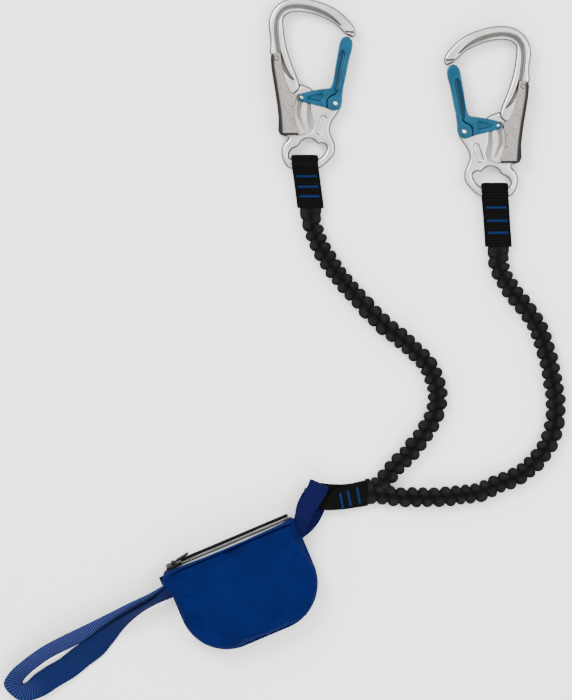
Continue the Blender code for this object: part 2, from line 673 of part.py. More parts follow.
def make_yoke():
    low, high = YOKE_BACK_HEIGHT, YOKE_FRONT_HEIGHT
    mid, reach = (low + high) / 2, (high - low) / 2
    bulge = reach / PHOTO_SCALE
    rows = [
        (366.2, 493.4, YOKE_SEWN_FRONT_HEIGHT, 0.94, 86, 0),
        (352, 496.0, YOKE_SEWN_FRONT_HEIGHT, 0.92, 101, 0),
        (341, 498.6, YOKE_SEWN_FRONT_HEIGHT + 0.2 * reach, 0.84, 102, 0),
        (331, 501.4, high - 0.15 * reach, 0.68, 104, 0),
        (320, 501.6, high, 0.64, 108, 0),
        (310, 497.6, high, 0.64, 113, 0),
        (310 - 0.7 * bulge, 495.6, mid + 0.7 * reach, 0.54, 115, 0),
        (310 - bulge, 494.2, mid, 0.52, 116, 0),
        (310 - 0.7 * bulge, 494.2, mid - 0.7 * reach, 0.54, 115, 0),
        (310, 495.0, low, 0.62, 110, 0),
        (322, 495.6, low, 0.94, 100, 0),
        (334, 496.6, low + 0.1 * reach, 0.94, 99, 0),
        (350, 496.0, YOKE_SEWN_BACK_HEIGHT, 0.92, 100, 0),
        (366.2, 492.2, YOKE_SEWN_BACK_HEIGHT, 0.94, 98, 0),
    ]
    ribbon("yoke_strap", stations_px(rows, BLACK_WIDTH), "black_webbing", steps=2)
    top = YOKE_SEWN_FRONT_HEIGHT + WEBBING_THICKNESS / 2 + SEAT_GAP
    tacks = [((341.5, 500.6), 4 * SEAT_GAP), ((349.2, 498.2), SEAT_GAP), ((358.4, 495.2), 0)]
    for number, (pixel, lift) in enumerate(tacks, 1):
        pad = box_mesh(
            "yoke_tack",
            (-0.4 * TACK_SPAN, -TACK_WIDTH / 2, 0),
            (0.4 * TACK_SPAN, TACK_WIDTH / 2, TACK_HEIGHT),
        )
        obj = place_object(f"yoke_tack_{number}", pad, "blue_thread", None)
        obj.location = floor_place(pixel) + Vector((0, 0, top + lift))
        obj.rotation_euler = (0, 0, math.radians(101))


def pouch_place(pouch, u, v, z):
    """A place given in the pouch's own plan, in the world."""
    return Matrix.Translation(pouch.location) @ Matrix.Rotation(
        pouch.rotation_euler.z, 4, "Z"
    ) @ Vector((u, v, z))


def tail(pouch, u_values, v_values, z, rises, turn, width, offset):
    """Stations of a webbing end that turns on edge inside the pouch, offset along its face."""
    found = []
    for u, v, rise in zip(u_values, v_values, rises):
        rise_rad = math.radians(rise)
        shift = Vector((0, -math.sin(rise_rad), math.cos(rise_rad))) * offset
        place = pouch_place(pouch, u, v + shift.y, z + shift.z)
        found.append((place, half_width(width, turn, rise)))
    return found


def make_absorber_loop(pouch):
    """The blue loop that the yoke is linked to: over the yoke's end and back between its layers."""
    mid = POUCH_THICKNESS / 2
    turn = POUCH_TURN_DEG + 90
    us = [POUCH_WIDTH * s for s in (0.62, 0.70, 0.80, 0.90, 0.955, 1.0)]
    vs = [-ARMS_EXIT_DROP * s for s in ARMS_TAIL_DROP_SHARES]
    rises = [90, 86, 62, 28, 8, 0]
    front = tail(pouch, us, vs, mid, rises, turn, BLUE_WIDTH * 0.92, TAIL_GAP / 2)
    back = tail(pouch, us, vs, mid, rises, turn, BLUE_WIDTH * 0.92, -TAIL_GAP / 2)
    low = (YOKE_BACK_HEIGHT + YOKE_FRONT_HEIGHT) / 2
    high = YOKE_FRONT_HEIGHT + WEBBING_THICKNESS + 3 * LAYER_GAP
    mid_fold, reach = (low + high) / 2, (high - low) / 2
    out_front = [
        (302.5, 514.5, high + 0.0016, 0.95, 121, 0),
        (309.5, 501.0, high + 0.0004, 0.88, 142, 0),
        (316.5, 490.5, high, 0.86, 153, 0),
    ]
    fold = [
        (318.4, 485.6, mid_fold + 0.7 * reach, 0.86, 154.6, 0),
        (319.4, 483.9, mid_fold, 0.86, 154.6, 0),
        (318.9, 485.6, mid_fold - 0.7 * reach, 0.86, 154.6, 0),
    ]
    out_back = [
        (318.8, 490.8, low, 0.80, 151, 0),
        (319.0, 499.5, low, 0.74, 147, 0),
        (317.0, 508.8, low, 0.70, 134, 0),
        (311.5, 517.0, low + 0.0008, 0.80, 124, 0),
        (305.5, 522.5, low + 0.0030, 0.90, 116, 0),
    ]
    stations = front + stations_px(out_front + fold + out_back, BLUE_WIDTH) + back[::-1]
    ribbon("absorber_loop", stations, "blue_webbing", steps=3)


def make_harness_loop(pouch):
    """The blue loop that is tied to the harness, its two strands on edge where they leave."""
    mid = POUCH_THICKNESS / 2
    turn = POUCH_TURN_DEG - 90
    v = -HARNESS_EXIT_DROP
    us = [POUCH_WIDTH * s for s in (0.50, 0.28, 0.10, 0.0)]
    top = tail(pouch, us, [v] * 4, mid, [90] * 4, turn + 180, BLUE_WIDTH, -TAIL_GAP / 2)
    low = tail(pouch, us, [v] * 4, mid, [90] * 4, turn + 180, BLUE_WIDTH, TAIL_GAP / 2)
    rows = [
        (152.5, 597.2, 0.0112, 1, 118, 80),
        (134, 606.0, 0.0100, 1, 119, 70),
        (114, 617.5, 0.0096, 1, 118, 68),
        (92, 628.5, 0.0096, 1, 117, 66),
        (67, 640.5, 0.0094, 1, 117, 64),
        (46, 651.5, 0.0092, 1, 122, 62),
        (28, 665.0, 0.0088, 1, 130, 58),
        (16.5, 676.5, 0.0080, 1, 146, 50),
        (14.0, 685.0, 0.0069, 1, 186, 39),
        (25.0, 690.5, 0.0051, 1, 250, 24),
        (38.0, 686.0, 0.0034, 1, 290, 12),
        (53.0, 676.5, 0.0022, 1, 305, 4),
        (67.5, 668.0, 0.0018, 1, 310, 0),
        (82.3, 656.2, 0.0022, 0.95, 311, -4),
        (97.5, 647.5, 0.0042, 0.9, 308, -18),
        (109.5, 635.5, 0.0072, 0.9, 304, -38),
        (122.5, 624.5, 0.0090, 0.95, 302, -60),
        (138.0, 612.5, 0.0100, 1, 299, -72),
        (155.0, 602.5, 0.0112, 1, 298, -82),
    ]
    moved = pouch.location - floor_place(POUCH_HARNESS_CORNER_PX)
    route = [(place + moved, half) for place, half in stations_px(rows, BLUE_WIDTH)]
    stations = top + route
    last = [(place, -half) for place, half in low[::-1]]
    ribbon("harness_loop", stations + last, "blue_webbing", steps=3)


def arc(centre, radius, start_deg, end_deg, steps):
    return [
        Vector((centre[0] + radius * math.cos(a), centre[1] + radius * math.sin(a)))
        for a in (math.radians(start_deg + (end_deg - start_deg) * k / steps) for k in range(steps + 1))
    ]


def pouch_outline():
    """The pouch's plan: a straight zip edge and a bag below it with round corners."""
    low, top = -POUCH_HEIGHT, 0.0
    big, small = POUCH_CORNER, POUCH_TOP_CORNER
    points = arc((POUCH_WIDTH - small, top - small), small, 90, 0, 2)
    points += arc((POUCH_WIDTH - big, low + big), big, 0, -90, 7)
    points += arc((big, low + big), big, -90, -180, 7)
    points += arc((small, top - small), small, 180, 90, 2)
    return points


def pouch_shell(name, pouch, seam, face):
    """One moulded half of the pouch, from the seam to its flat face."""
    outline = pouch_outline()
    centre = Vector((POUCH_WIDTH / 2, -POUCH_HEIGHT / 2))
    inset_shares = [(0.0, 0.0), (0.10, 0.0), (0.34, 0.05), (0.64, 0.2), (0.87, 0.5), (1.0, 1.0)]
    shape = bmesh.new()
    rows = []
    for rise, inset in inset_shares:
        scale = (
            1 - inset * POUCH_RIM_INSET / (POUCH_WIDTH / 2),
            1 - inset * POUCH_RIM_INSET / (POUCH_HEIGHT / 2),
        )
        height = seam + (face - seam) * rise
        rows.append(
            [
                shape.verts.new(
                    (
                        centre.x + (p.x - centre.x) * scale[0],
                        centre.y + (p.y - centre.y) * scale[1],
                        height,
                    )
                )
                for p in outline
            ]
        )
    count = len(outline)
    for low, high in zip(rows, rows[1:]):
        for k in range(count):
            shape.faces.new((low[k], low[(k + 1) % count], high[(k + 1) % count], high[k]))
    shape.faces.new(rows[-1])
    bmesh.ops.recalc_face_normals(shape, faces=shape.faces)
    if shape.faces[-1].normal.z * (face - seam) < 0:
        bmesh.ops.reverse_faces(shape, faces=shape.faces)
    mesh = bpy.data.meshes.new(name)
    shape.to_mesh(mesh)
    shape.free()
    obj = place_object(name, mesh, "pouch_fabric", pouch)
    wall = obj.modifiers.new("wall", "SOLIDIFY")
    wall.thickness = POUCH_WALL
    wall.offset = -1
    wall.use_even_offset = True
    return obj


def make_pouch(pouch, zipper):
    seam = POUCH_THICKNESS / 2
    gap = SEAT_GAP / 2
    front = pouch_shell("pouch_front", pouch, seam + gap, POUCH_THICKNESS)
    back = pouch_shell("pouch_back", pouch, seam - gap, 0)
    reach = POUCH_THICKNESS
    loop_v = -HARNESS_EXIT_DROP
    slot = TAIL_GAP / 2 + WEBBING_THICKNESS / 2 + 2 * SEAT_GAP
    tall = BLUE_WIDTH / 2 + 2 * SEAT_GAP
    exit_v = -ARMS_EXIT_DROP
    for shell in (front, back):
        cut(
            shell,
            box_mesh(
                f"top_trim_{shell.name}", (-OVERRUN, 0, -reach), (POUCH_WIDTH + OVERRUN, reach, reach)
            ),
            zipper,
        )
        cut(
            shell,
            box_mesh(
                f"harness_exit_{shell.name}",
                (-2 * POUCH_WALL, loop_v - slot, seam - tall),
                (0.8 * POUCH_RIM_INSET, loop_v + slot, seam + tall),
            ),
            pouch,
        )
        cut(
            shell,
            box_mesh(
                f"arms_exit_{shell.name}",
                (POUCH_WIDTH - 2 * POUCH_WALL, exit_v - tall, seam - slot),
                (POUCH_WIDTH + 2 * POUCH_WALL, exit_v + tall, seam + slot),
            ),
            pouch,
        )
    tab_top = -ZIP_DEPTH - 0.4 * TAB_REACH
    tab_low = tab_top - TAB_LENGTH
    tab = [
        Vector((-TAB_REACH, tab_low + 0.2 * TAB_REACH)),
        Vector((-TAB_REACH, tab_top - 0.2 * TAB_REACH)),
        Vector((-SEAT_GAP, tab_top)),
        Vector((-SEAT_GAP, tab_low)),
    ]
    mesh = outline_mesh("side_tab", tab, 3 * POUCH_WALL)
    place_object("side_tab", mesh, "pouch_fabric", pouch, (0, 0, seam))


def make_zip(zipper):
    """Zip frame: x along the zip, y out of the pouch, z from its back to its front."""
    level = SEAT_GAP + TAPE_THICKNESS / 2
    start, end = ZIP_END_MARGIN, POUCH_WIDTH - ZIP_END_MARGIN
    inner = TEETH_SLIT / 2 + TEETH_WIDTH + SEAT_GAP
    for side, sign in (("front", 1), ("back", -1)):
        sides = sorted((sign * inner, sign * (inner + TAPE_WIDTH)))
        tape = box_mesh(
            f"tape_{side}", (start, SEAT_GAP, sides[0]), (end, SEAT_GAP + TAPE_THICKNESS, sides[1])
        )
        place_object(f"zip_tape_{side}", tape, "zip_grey", zipper)
        sides = sorted((sign * TEETH_SLIT / 2, sign * (TEETH_SLIT / 2 + TEETH_WIDTH)))
        last = end - ZIP_BOX_LENGTH - SEAT_GAP
        teeth = box_mesh(
            f"teeth_{side}",
            (start + SEAT_GAP, level - TEETH_HEIGHT / 2, sides[0]),
            (last, level + TEETH_HEIGHT / 2, sides[1]),
        )
        place_object(f"zip_teeth_{side}", teeth, "zip_grey", zipper)
    wide = TEETH_SLIT / 2 + TEETH_WIDTH + 2 * SEAT_GAP
    rise = TEETH_HEIGHT / 2
    box = place_object(
        "zip_box",
        box_mesh("box", (end - ZIP_BOX_LENGTH, level - rise, -inner + SEAT_GAP / 2), (end, level + rise, inner - SEAT_GAP / 2)),
        "zip_black",
        zipper,
    )
    cut(box, box_mesh("box_mouth", (0, -OVERRUN, -SEAT_GAP), (end - ZIP_BOX_LENGTH / 2, level - rise / 2, SEAT_GAP)), zipper)
    return level, wide


def make_slider(zipper, level):
    """The slider's two plates, the web between them and the lugs that hold the puller's pin."""
    half = SLIDER_LENGTH / 2
    axis = empty("slider_axis", zipper, (half + 3 * POUCH_WALL, 0, 0))
    near = level + TEETH_HEIGHT / 2 + SEAT_GAP
    far = near + SLIDER_PLATE
    under = level - TEETH_HEIGHT / 2 - SEAT_GAP
    wide = SLIDER_WIDTH / 2
    slider = place_object(
        "zip_slider", box_mesh("top_plate", (-half, near, -wide), (half, far, wide)), "zip_black", axis
    )
    join(
        slider,
        box_mesh("under_plate", (-half, under - SLIDER_PLATE, -wide), (half, under, wide)),
        axis,
    )
    web = TEETH_SLIT / 2 - SEAT_GAP / 2 - SEAT_GAP / 3
    join(
        slider,
        box_mesh("web", (-0.8 * half, under - SLIDER_PLATE / 2, -web), (0, near + SLIDER_PLATE / 2, web)),
        axis,
    )
    pin_level = far + HINGE_RISE
    inner = PULLER_WIDTH / 2 - HINGE_LUG + SEAT_GAP
    outer = inner + HINGE_LUG
    for sign in (-1, 1):
        sides = sorted((sign * inner, sign * outer))
        lug = box_mesh(
            f"lug_{'front' if sign > 0 else 'back'}",
            (-1.2 * HINGE_PIN_DIAMETER, far - SLIDER_PLATE / 2, sides[0]),
            (1.2 * HINGE_PIN_DIAMETER, pin_level + HINGE_PIN_DIAMETER, sides[1]),
        )
        join(slider, lug, axis)
    pin = cylinder_mesh("puller_pin", HINGE_PIN_DIAMETER / 2, 2 * inner + HINGE_LUG, 12)
    join(slider, pin, axis, (0, pin_level, 0))
    return axis, pin_level, inner


def make_puller(axis, pin_level, inner):
    hinge = empty("puller_axis", axis, (0, pin_level, 0), (0, 0, math.radians(PULLER_LIFT_DEG)))
    bore_radius = HINGE_PIN_DIAMETER / 2 + PIN_CLEARANCE
    barrel = bore_radius + PULLER_THICKNESS / 2
    wide = inner - SEAT_GAP
    puller = place_object(
        "zip_puller", cylinder_mesh("barrel", barrel, 2 * wide, 16), "zip_black", hinge
    )
    thick = PULLER_THICKNESS / 2
    join(
        puller,
        box_mesh("neck", (bore_radius, -thick, -wide), (barrel + PULLER_LENGTH / 4, thick, wide)),
        hinge,
    )
    flare = PULLER_WIDTH / 2
    join(
        puller,
        box_mesh("blade", (barrel + PULLER_LENGTH / 6, -thick, -flare), (PULLER_LENGTH, thick, flare)),
        hinge,
    )
    cut(puller, cylinder_mesh("barrel_bore", bore_radius, OVERRUN, 16), hinge)


def make_absorber_pack(pouch):
    """Tear webbing folded back and forth on edge, held by a band."""
    first_v = -HARNESS_EXIT_DROP - TAIL_GAP - 2 * WEBBING_THICKNESS
    centre_u = POUCH_WIDTH / 2
    half = PACK_RUN_LENGTH / 2
    radius = PACK_PITCH / 2
    line = []
    for run in range(PACK_RUNS):
        v = first_v - run * PACK_PITCH
        way = 1 if run % 2 == 0 else -1
        line.append(Vector((centre_u - way * half, v)))
        line.append(Vector((centre_u + way * half, v)))
        if run < PACK_RUNS - 1:
            turn_centre = (centre_u + way * half, v - radius)
            line += arc(turn_centre, radius, 90, 90 - way * 180, 4)[1:-1]
    height = Vector((0, 0, BLUE_WIDTH / 2))
    stations = [(Vector((p.x, p.y, POUCH_THICKNESS / 2)), height) for p in line]
    ribbon("absorber_pack", stations, "blue_webbing", pouch, steps=1)
    last_v = first_v - (PACK_RUNS - 1) * PACK_PITCH
    edge = WEBBING_THICKNESS / 2 + SEAT_GAP
    tall = BLUE_WIDTH / 2 + SEAT_GAP
    mid = POUCH_THICKNESS / 2
    low = (centre_u - BAND_WIDTH / 2, last_v - edge, mid - tall)
    high = (centre_u + BAND_WIDTH / 2, first_v + edge, mid + tall)
    outer_low = (low[0], low[1] - BAND_THICKNESS, low[2] - BAND_THICKNESS)
    outer_high = (high[0], high[1] + BAND_THICKNESS, high[2] + BAND_THICKNESS)
    band = place_object("absorber_band", box_mesh("band", outer_low, outer_high), "black_webbing", pouch)
    cut(
        band,
        box_mesh("band_hollow", (low[0] - OVERRUN, low[1], low[2]), (high[0] + OVERRUN, high[1], high[2])),
        pouch,
    )


def main():
    clear_scene()
    make_materials()
    left = carabiner("left", LEFT_PIVOT_PX, True)
    right = carabiner("right", RIGHT_PIVOT_PX, False)
    strap("left", left, LEFT_STRAP_LENGTH, LEFT_STRAP_SLANT)
    strap("right", right, RIGHT_STRAP_LENGTH, RIGHT_STRAP_SLANT)
    make_arms()
    make_yoke()
    turn = math.radians(POUCH_TURN_DEG)
    width = POUCH_WIDTH * Vector((math.cos(turn), math.sin(turn), 0))
    pouch = empty("pouch_axis", None, floor_place(POUCH_ARMS_CORNER_PX) - width, (0, 0, turn))
    zipper = empty(
        "zip_axis", pouch, (0, -ZIP_DEPTH, ZIP_HEIGHT), (math.radians(ZIP_TILT_DEG), 0, 0)
    )
    make_pouch(pouch, zipper)
    level, _ = make_zip(zipper)
    axis, pin_level, inner = make_slider(zipper, level)
    make_puller(axis, pin_level, inner)
    make_absorber_pack(pouch)
    make_absorber_loop(pouch)
    make_harness_loop(pouch)


main()
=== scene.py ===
"""Looks of the via ferrata lanyard: forged carabiners, sewn webbing, ribbed elastic arms and the
padded pouch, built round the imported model. Metres, +Z up, +Y towards the photograph's top.
"""

import math

import bmesh
import bpy
import numpy as np
from mathutils import Matrix, Vector, noise


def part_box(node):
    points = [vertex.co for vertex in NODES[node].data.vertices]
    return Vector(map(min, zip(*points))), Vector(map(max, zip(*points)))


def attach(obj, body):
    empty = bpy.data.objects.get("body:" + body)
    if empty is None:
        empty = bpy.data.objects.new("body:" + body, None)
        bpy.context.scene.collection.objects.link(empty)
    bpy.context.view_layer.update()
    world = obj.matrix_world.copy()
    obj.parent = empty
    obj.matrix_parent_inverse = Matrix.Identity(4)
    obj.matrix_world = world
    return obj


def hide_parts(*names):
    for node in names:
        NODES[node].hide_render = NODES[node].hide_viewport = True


bl_info = {
    "name": "Via Ferrata Lanyard Looks",
    "version": (1, 0, 0),
    "blender": (4, 5, 0),
    "location": "View3D > Sidebar > Lanyard",
    "description": "Builds the detailed look of the lanyard round its packed model",
    "category": "Object",
}

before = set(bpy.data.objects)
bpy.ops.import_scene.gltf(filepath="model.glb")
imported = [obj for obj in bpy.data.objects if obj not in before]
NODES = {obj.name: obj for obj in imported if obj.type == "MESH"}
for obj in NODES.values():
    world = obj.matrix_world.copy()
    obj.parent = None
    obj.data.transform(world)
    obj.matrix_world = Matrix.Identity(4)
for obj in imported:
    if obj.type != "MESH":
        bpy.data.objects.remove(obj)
LOOKS = {}

# The photograph's plan: one pixel is 0.75 mm on the floor
PHOTO_SCALE = 0.00075
PHOTO_CENTRE_PX = (267.014, 350.711)
PHOTO_MIDDLE_PX = (286.0, 350.0)
PHOTO_HEIGHT_PX = 700
PIVOTS_PX = {"left": (335.3, 103.9), "right": (464.0, 131.9)}
POUCH_ARMS_CORNER_PX = (292.194, 514.004)
POUCH_TURN_DEG = 22.9
CAMERA_HEIGHT = 3.0
SHARP_HEIGHT = 0.007

# The carabiner is drawn on the grid of its frame, 175 steps long
GRID = 0.128 / 175
PLATE_THICKNESS = 0.006
BOW_THICKNESS = 0.0105
GATE_WIDTH = 0.011
HOUSING_WALL = 0.001
HOUSING_INNER = 0.0059
HOUSING_OUTER = HOUSING_INNER + HOUSING_WALL
GATE_PIN_RADIUS = 0.0017
PIN_CLEARANCE = 0.00025
BORE_GAP = 0.0001
FRAME_VOXEL = 0.0004
PLATE_VOXEL = 0.00028

# Webbing
BLACK_WIDTH = 0.020
BLUE_WIDTH = 0.018
WEBBING_THICKNESS = 0.0019
BLACK_RIB = 0.0012
BLUE_RIB = 0.0016
YARN_PITCH = 0.00062
KNIT_PITCHES = (0.0010, 0.0011)
NYLON_PITCH = 0.0009
TAPE_RIB = 0.0008
LAYER_GAP = 0.0006
SEAT_GAP = 0.0003

# Arms
ARM_WIDTH = 0.0155
ARM_THICKNESS = 0.0105
ARM_RIB_PITCH = 0.008
ARM_FLAT_LENGTH = 0.012
ARM_FLAT_THICKNESS = 0.0024

# Pouch
POUCH_WIDTH = 0.106
POUCH_HEIGHT = 0.0785
POUCH_THICKNESS = 0.024
ARMS_EXIT_DROP = 0.0114
HARNESS_EXIT_DROP = 0.0169
TAIL_GAP = 0.0030
OUTLINE_STEP = 0.002


def with_values(thing, **values):
    """The thing with these of its settings."""
    for key, value in values.items():
        setattr(thing, key, value)
    return thing


def floor_place(pixel):
    """The photograph's pixel as a place on the floor plan."""
    x, y = pixel[0] - PHOTO_CENTRE_PX[0], PHOTO_CENTRE_PX[1] - pixel[1]
    return Vector((x * PHOTO_SCALE, y * PHOTO_SCALE, 0))


def smooth(points, steps, closed=False):
    """The points of a Catmull-Rom curve through these ones, steps to a span."""
    count = len(points)
    found = []
    for i in range(count if closed else count - 1):
        if closed:
            a, b, c, d = (points[(i + k) % count] for k in (-1, 0, 1, 2))
        else:
            a, b, c, d = (points[min(max(i + k, 0), count - 1)] for k in (-1, 0, 1, 2))
        for k in range(steps):
            t = k / steps
            bend = (2 * a - 5 * b + 4 * c - d) * t * t + (3 * b - a - 3 * c + d) * t**3
            found.append(0.5 * (2 * b + (c - a) * t + bend))
    return found if closed else found + [points[-1]]


def resample(points, step, *others):
    """Points at even steps along a line, with other values that follow it."""
    rows = [np.array([tuple(p) for p in row], float) for row in (points, *others)]
    ways = np.linalg.norm(np.diff(rows[0], axis=0), axis=1)
    at = np.concatenate(([0], np.cumsum(ways)))
    new = np.linspace(0, at[-1], max(3, round(at[-1] / step)) + 1)
    return (new, *(np.stack([np.interp(new, at, row[:, k]) for k in range(3)], axis=1) for row in rows))


# Shader sums, so that a material reads as arithmetic
class Value:
    """A shader output that takes part in ordinary sums."""

    def __init__(self, look, socket):
        self.look, self.socket = look, socket

    def maths(self, operation, *others):
        return self.look.maths(operation, self, *others)

    def __add__(self, other):
        return self.maths("ADD", other)

    def __sub__(self, other):
        return self.maths("SUBTRACT", other)

    def __rsub__(self, other):
        return self.look.maths("SUBTRACT", other, self)

    def __mul__(self, other):
        return self.maths("MULTIPLY", other)

    __radd__, __rmul__ = __add__, __mul__

    def ridges(self, pitch):
        """Round ridges between 0 and 1, one to a pitch."""
        return (self * (math.pi / pitch)).maths("SINE").maths("ABSOLUTE")

    def wave(self):
        """An even ripple between 0 and 1."""
        return self.maths("SINE") * 0.5 + 0.5

    def ramp(self, low, high):
        """This value's share of low to high, eased and held between 0 and 1."""
        inputs = {0: self, 1: low, 2: high, 3: 0.0, 4: 1.0}
        return self.look.node("MapRange", inputs, interpolation_type="SMOOTHSTEP")


class Nodes:
    """A shader tree of a material or of the world, its nodes all made by node()."""

    def __init__(self, owner):
        owner.use_nodes = True
        self.tree = owner.node_tree

    def node(self, kind, inputs=None, output=0, **options):
        """A node of this kind, its options set first, then the values or links of its sockets."""
        made = with_values(self.tree.nodes.new("ShaderNode" + kind), **options)
        for key, value in (inputs or {}).items():
            self.feed(made.inputs[key], value)
        return Value(self, made.outputs[output])

    def feed(self, socket, value):
        if isinstance(value, Value):
            self.tree.links.new(value.socket, socket)
        else:
            socket.default_value = value

    def maths(self, operation, *values):
        return self.node("Math", dict(enumerate(values)), operation=operation)


class Look(Nodes):
    """A procedural material, its shader fed by set()."""

    def __init__(self, name, **plain):
        self.material = bpy.data.materials.new(name)
        super().__init__(self.material)
        self.shader = self.tree.nodes["Principled BSDF"]
        for key, value in plain.items():
            self.shader.inputs[key.replace("_", " ").title().replace("Ior", "IOR")].default_value = value

    def axes(self, place):
        """The first two numbers of a place."""
        split = self.node("SeparateXYZ", {0: place})
        return split, Value(self, split.socket.node.outputs[1])

    def weave(self):
        """How far across and along the webbing a point lies."""
        return self.axes(self.node("UVMap", uv_map="weave"))

    def pouch_plan(self):
        """The place along the zip and square to it."""
        place = self.node("TexCoord", output="Object")
        turn = (0, 0, -math.radians(POUCH_TURN_DEG))
        return self.axes(self.node("Mapping", {"Vector": place, "Rotation": turn}))

    def attribute(self, name):
        """A number that the mesh carries at each point."""
        return self.node("Attribute", output="Fac", attribute_name=name)

    def noise(self, scale, detail=3.0, roughness=0.55):
        place = self.node("TexCoord", output="Object")
        inputs = {"Vector": place, "Scale": scale, "Detail": detail, "Roughness": roughness}
        return self.node("TexNoise", inputs)

    def mix(self, share, first, second):
        """A colour between two, each a tuple or another mix."""
        first, second = ((*c, 1) if isinstance(c, tuple) else c for c in (first, second))
        return self.node("Mix", {0: share, 6: first, 7: second}, 2, data_type="RGBA")

    def set(self, colour, roughness=None, height=None, depth=0.0):
        """Feeds the shader, with bumps of this height and depth."""
        self.feed(self.shader.inputs["Base Color"], colour)
        if roughness is not None:
            self.feed(self.shader.inputs["Roughness"], roughness)
        if height is not None:
            bump = self.node("Bump", {"Height": height, "Distance": depth, "Strength": 1.0})
            self.feed(self.shader.inputs["Normal"], bump)
        return self.material


# Materials
def settings():
    return bpy.context.scene.lanyard


def forged_aluminium():
    look = Look("forged_aluminium_fine", metallic=1.0)
    cloud, grain, shade = look.noise(90, 4), look.noise(2600, 2), look.attribute("shade")
    bright = look.mix(cloud.ramp(0.3, 0.7), (0.44, 0.425, 0.405), (0.56, 0.55, 0.535))
    colour = look.mix(shade, bright, (0.012, 0.011, 0.010))
    return look.set(colour, 0.22 + 0.10 * cloud + 0.08 * grain + 0.2 * shade, grain + 2.5 * cloud, 0.00003)


def blue_anodised():
    look = Look("blue_anodised_fine", metallic=0.8)
    cloud, grain, blue = look.noise(120, 4), look.noise(3200, 2), settings().gate_blue
    base = look.mix(cloud.ramp(0.3, 0.7), tuple(0.75 * c for c in blue), tuple(blue))
    colour = look.mix(look.attribute("shade"), base, (0.0004, 0.003, 0.010))
    return look.set(colour, 0.26 + 0.12 * cloud + 0.06 * grain, grain, 0.00003)


def housing_alloy():
    look = Look("housing_alloy_fine", metallic=0.7)
    speckle, cloud = look.noise(1500, 3, 0.7), look.noise(70, 4)
    base = look.mix(speckle.ramp(0.38, 0.62), (0.13, 0.112, 0.10), (0.30, 0.27, 0.25))
    colour = look.mix(look.attribute("shade"), base, (0.006,) * 3)
    return look.set(colour, 0.36 + 0.12 * cloud + 0.10 * speckle, speckle + cloud, 0.00005)


def pin_steel():
    look = Look("pin_steel_fine", metallic=1.0)
    cloud, grain = look.noise(400, 3), look.noise(4000, 2)
    bright = look.mix(cloud.ramp(0.3, 0.7), (0.46,) * 3, (0.66, 0.66, 0.65))
    colour = look.mix(look.attribute("shade"), bright, (0.02,) * 3)
    return look.set(colour, 0.22 + 0.2 * cloud, grain, 0.00002)


def webbing_look(name, rib, dark, light):
    """Woven webbing: raised ribs across it, and fine yarns that run over each rib. Its colour is lighter on
    the ribs' crests as a painted highlight, over the yarns' own pattern.
    """
    look = Look(name, specular_ior_level=0.012)
    across, along = look.weave()
    ribs = along.ridges(rib)
    yarn = (across * (2 * math.pi / YARN_PITCH) + along * (math.pi / rib)).wave()
    wear, fuzz = look.noise(420, 4), look.noise(5000, 2)
    # Painted highlight on the ribs' crests, mixed with the yarns' own light and dark pattern
    cover = (ribs * 0.75 + yarn * 0.25).ramp(0.3, 1.0)
    share = cover * (0.45 + 0.55 * wear) * (1 - 0.82 * look.attribute("shade"))
    colour = look.mix(share, dark, light)
    return look.set(colour, 0.62 + 0.2 * wear, ribs * 0.6 + yarn * 0.35 + fuzz * 0.25, 0.00018)


def knit_look(name, dark, light):
    """The arms' tubular weave: slanting yarns, lighter on the lobes' crests as a painted highlight and
    darker in the valleys and the seam as painted shade.
    """
    look = Look(name, specular_ior_level=0.012)
    across, along = (axis * (2 * math.pi / pitch) for axis, pitch in zip(look.weave(), KNIT_PITCHES))
    slant, other = (across + along).wave(), (across - along).wave()
    wear, fuzz = look.noise(350, 4), look.noise(4200, 2)
    cover = (slant * 0.6 + other * 0.4).ramp(0.4, 0.95)
    # Painted light and shade: the yarns lighten on the lobes' crests and darken in the valleys and the seam
    share = cover * (0.25 + 0.75 * look.attribute("painted_crest_light")) * (0.55 + 0.6 * wear)
    colour = look.mix(share.ramp(0.0, 1.0), dark, light)
    return look.set(colour, 0.66 + 0.2 * wear, slant * 0.5 + other * 0.35 + fuzz * 0.3, 0.00022)


def thread_look():
    look = Look("blue_thread_fine", specular_ior_level=0.08)
    twist = look.noise(2600, 3)
    colour = look.mix(twist.ramp(0.3, 0.7), (0.0010, 0.009, 0.050), tuple(settings().thread_blue))
    return look.set(colour, 0.5 + 0.2 * twist, twist, 0.0001)


def pouch_fabric():
    """Plain-woven nylon, its yarns square to the pouch, with faint folds of shade."""
    look = Look("pouch_fabric_fine", specular_ior_level=0.05)
    warp, weft = ((axis * (2 * math.pi / NYLON_PITCH)).wave() for axis in look.pouch_plan())
    yarn = warp * weft + (1 - warp) * (1 - weft)
    cloud, fine, blue = look.noise(45, 4), look.noise(3500, 2), settings().pouch_blue
    base = look.mix(cloud.ramp(0.3, 0.75), tuple(0.66 * c for c in blue), tuple(blue))
    colour = look.mix(yarn * 0.30 + fine * 0.1, base, (0.0002, 0.008, 0.080))
    height = yarn * 0.5 + fine * 0.3 + cloud * 0.8
    return look.set(colour, 0.75 + 0.1 * cloud + 0.1 * fine, height, 0.00014)


def zip_tape():
    look = Look("zip_tape_fine", specular_ior_level=0.2)
    ribs = (look.pouch_plan()[0] * (2 * math.pi / TAPE_RIB)).wave()
    fine = look.noise(2500, 3)
    colour = look.mix(ribs * 0.6 + fine * 0.4, (0.16, 0.17, 0.18), (0.40, 0.40, 0.41))
    return look.set(colour, 0.7 + 0.15 * fine, ribs + fine * 0.5, 0.00012)


def zip_teeth():
    look = Look("zip_teeth_fine", specular_ior_level=0.3)
    fine = look.noise(1800, 3)
    colour = look.mix(fine.ramp(0.3, 0.7), (0.010, 0.010, 0.011), (0.05,) * 3)
    return look.set(colour, 0.3 + 0.25 * fine, fine, 0.00005)


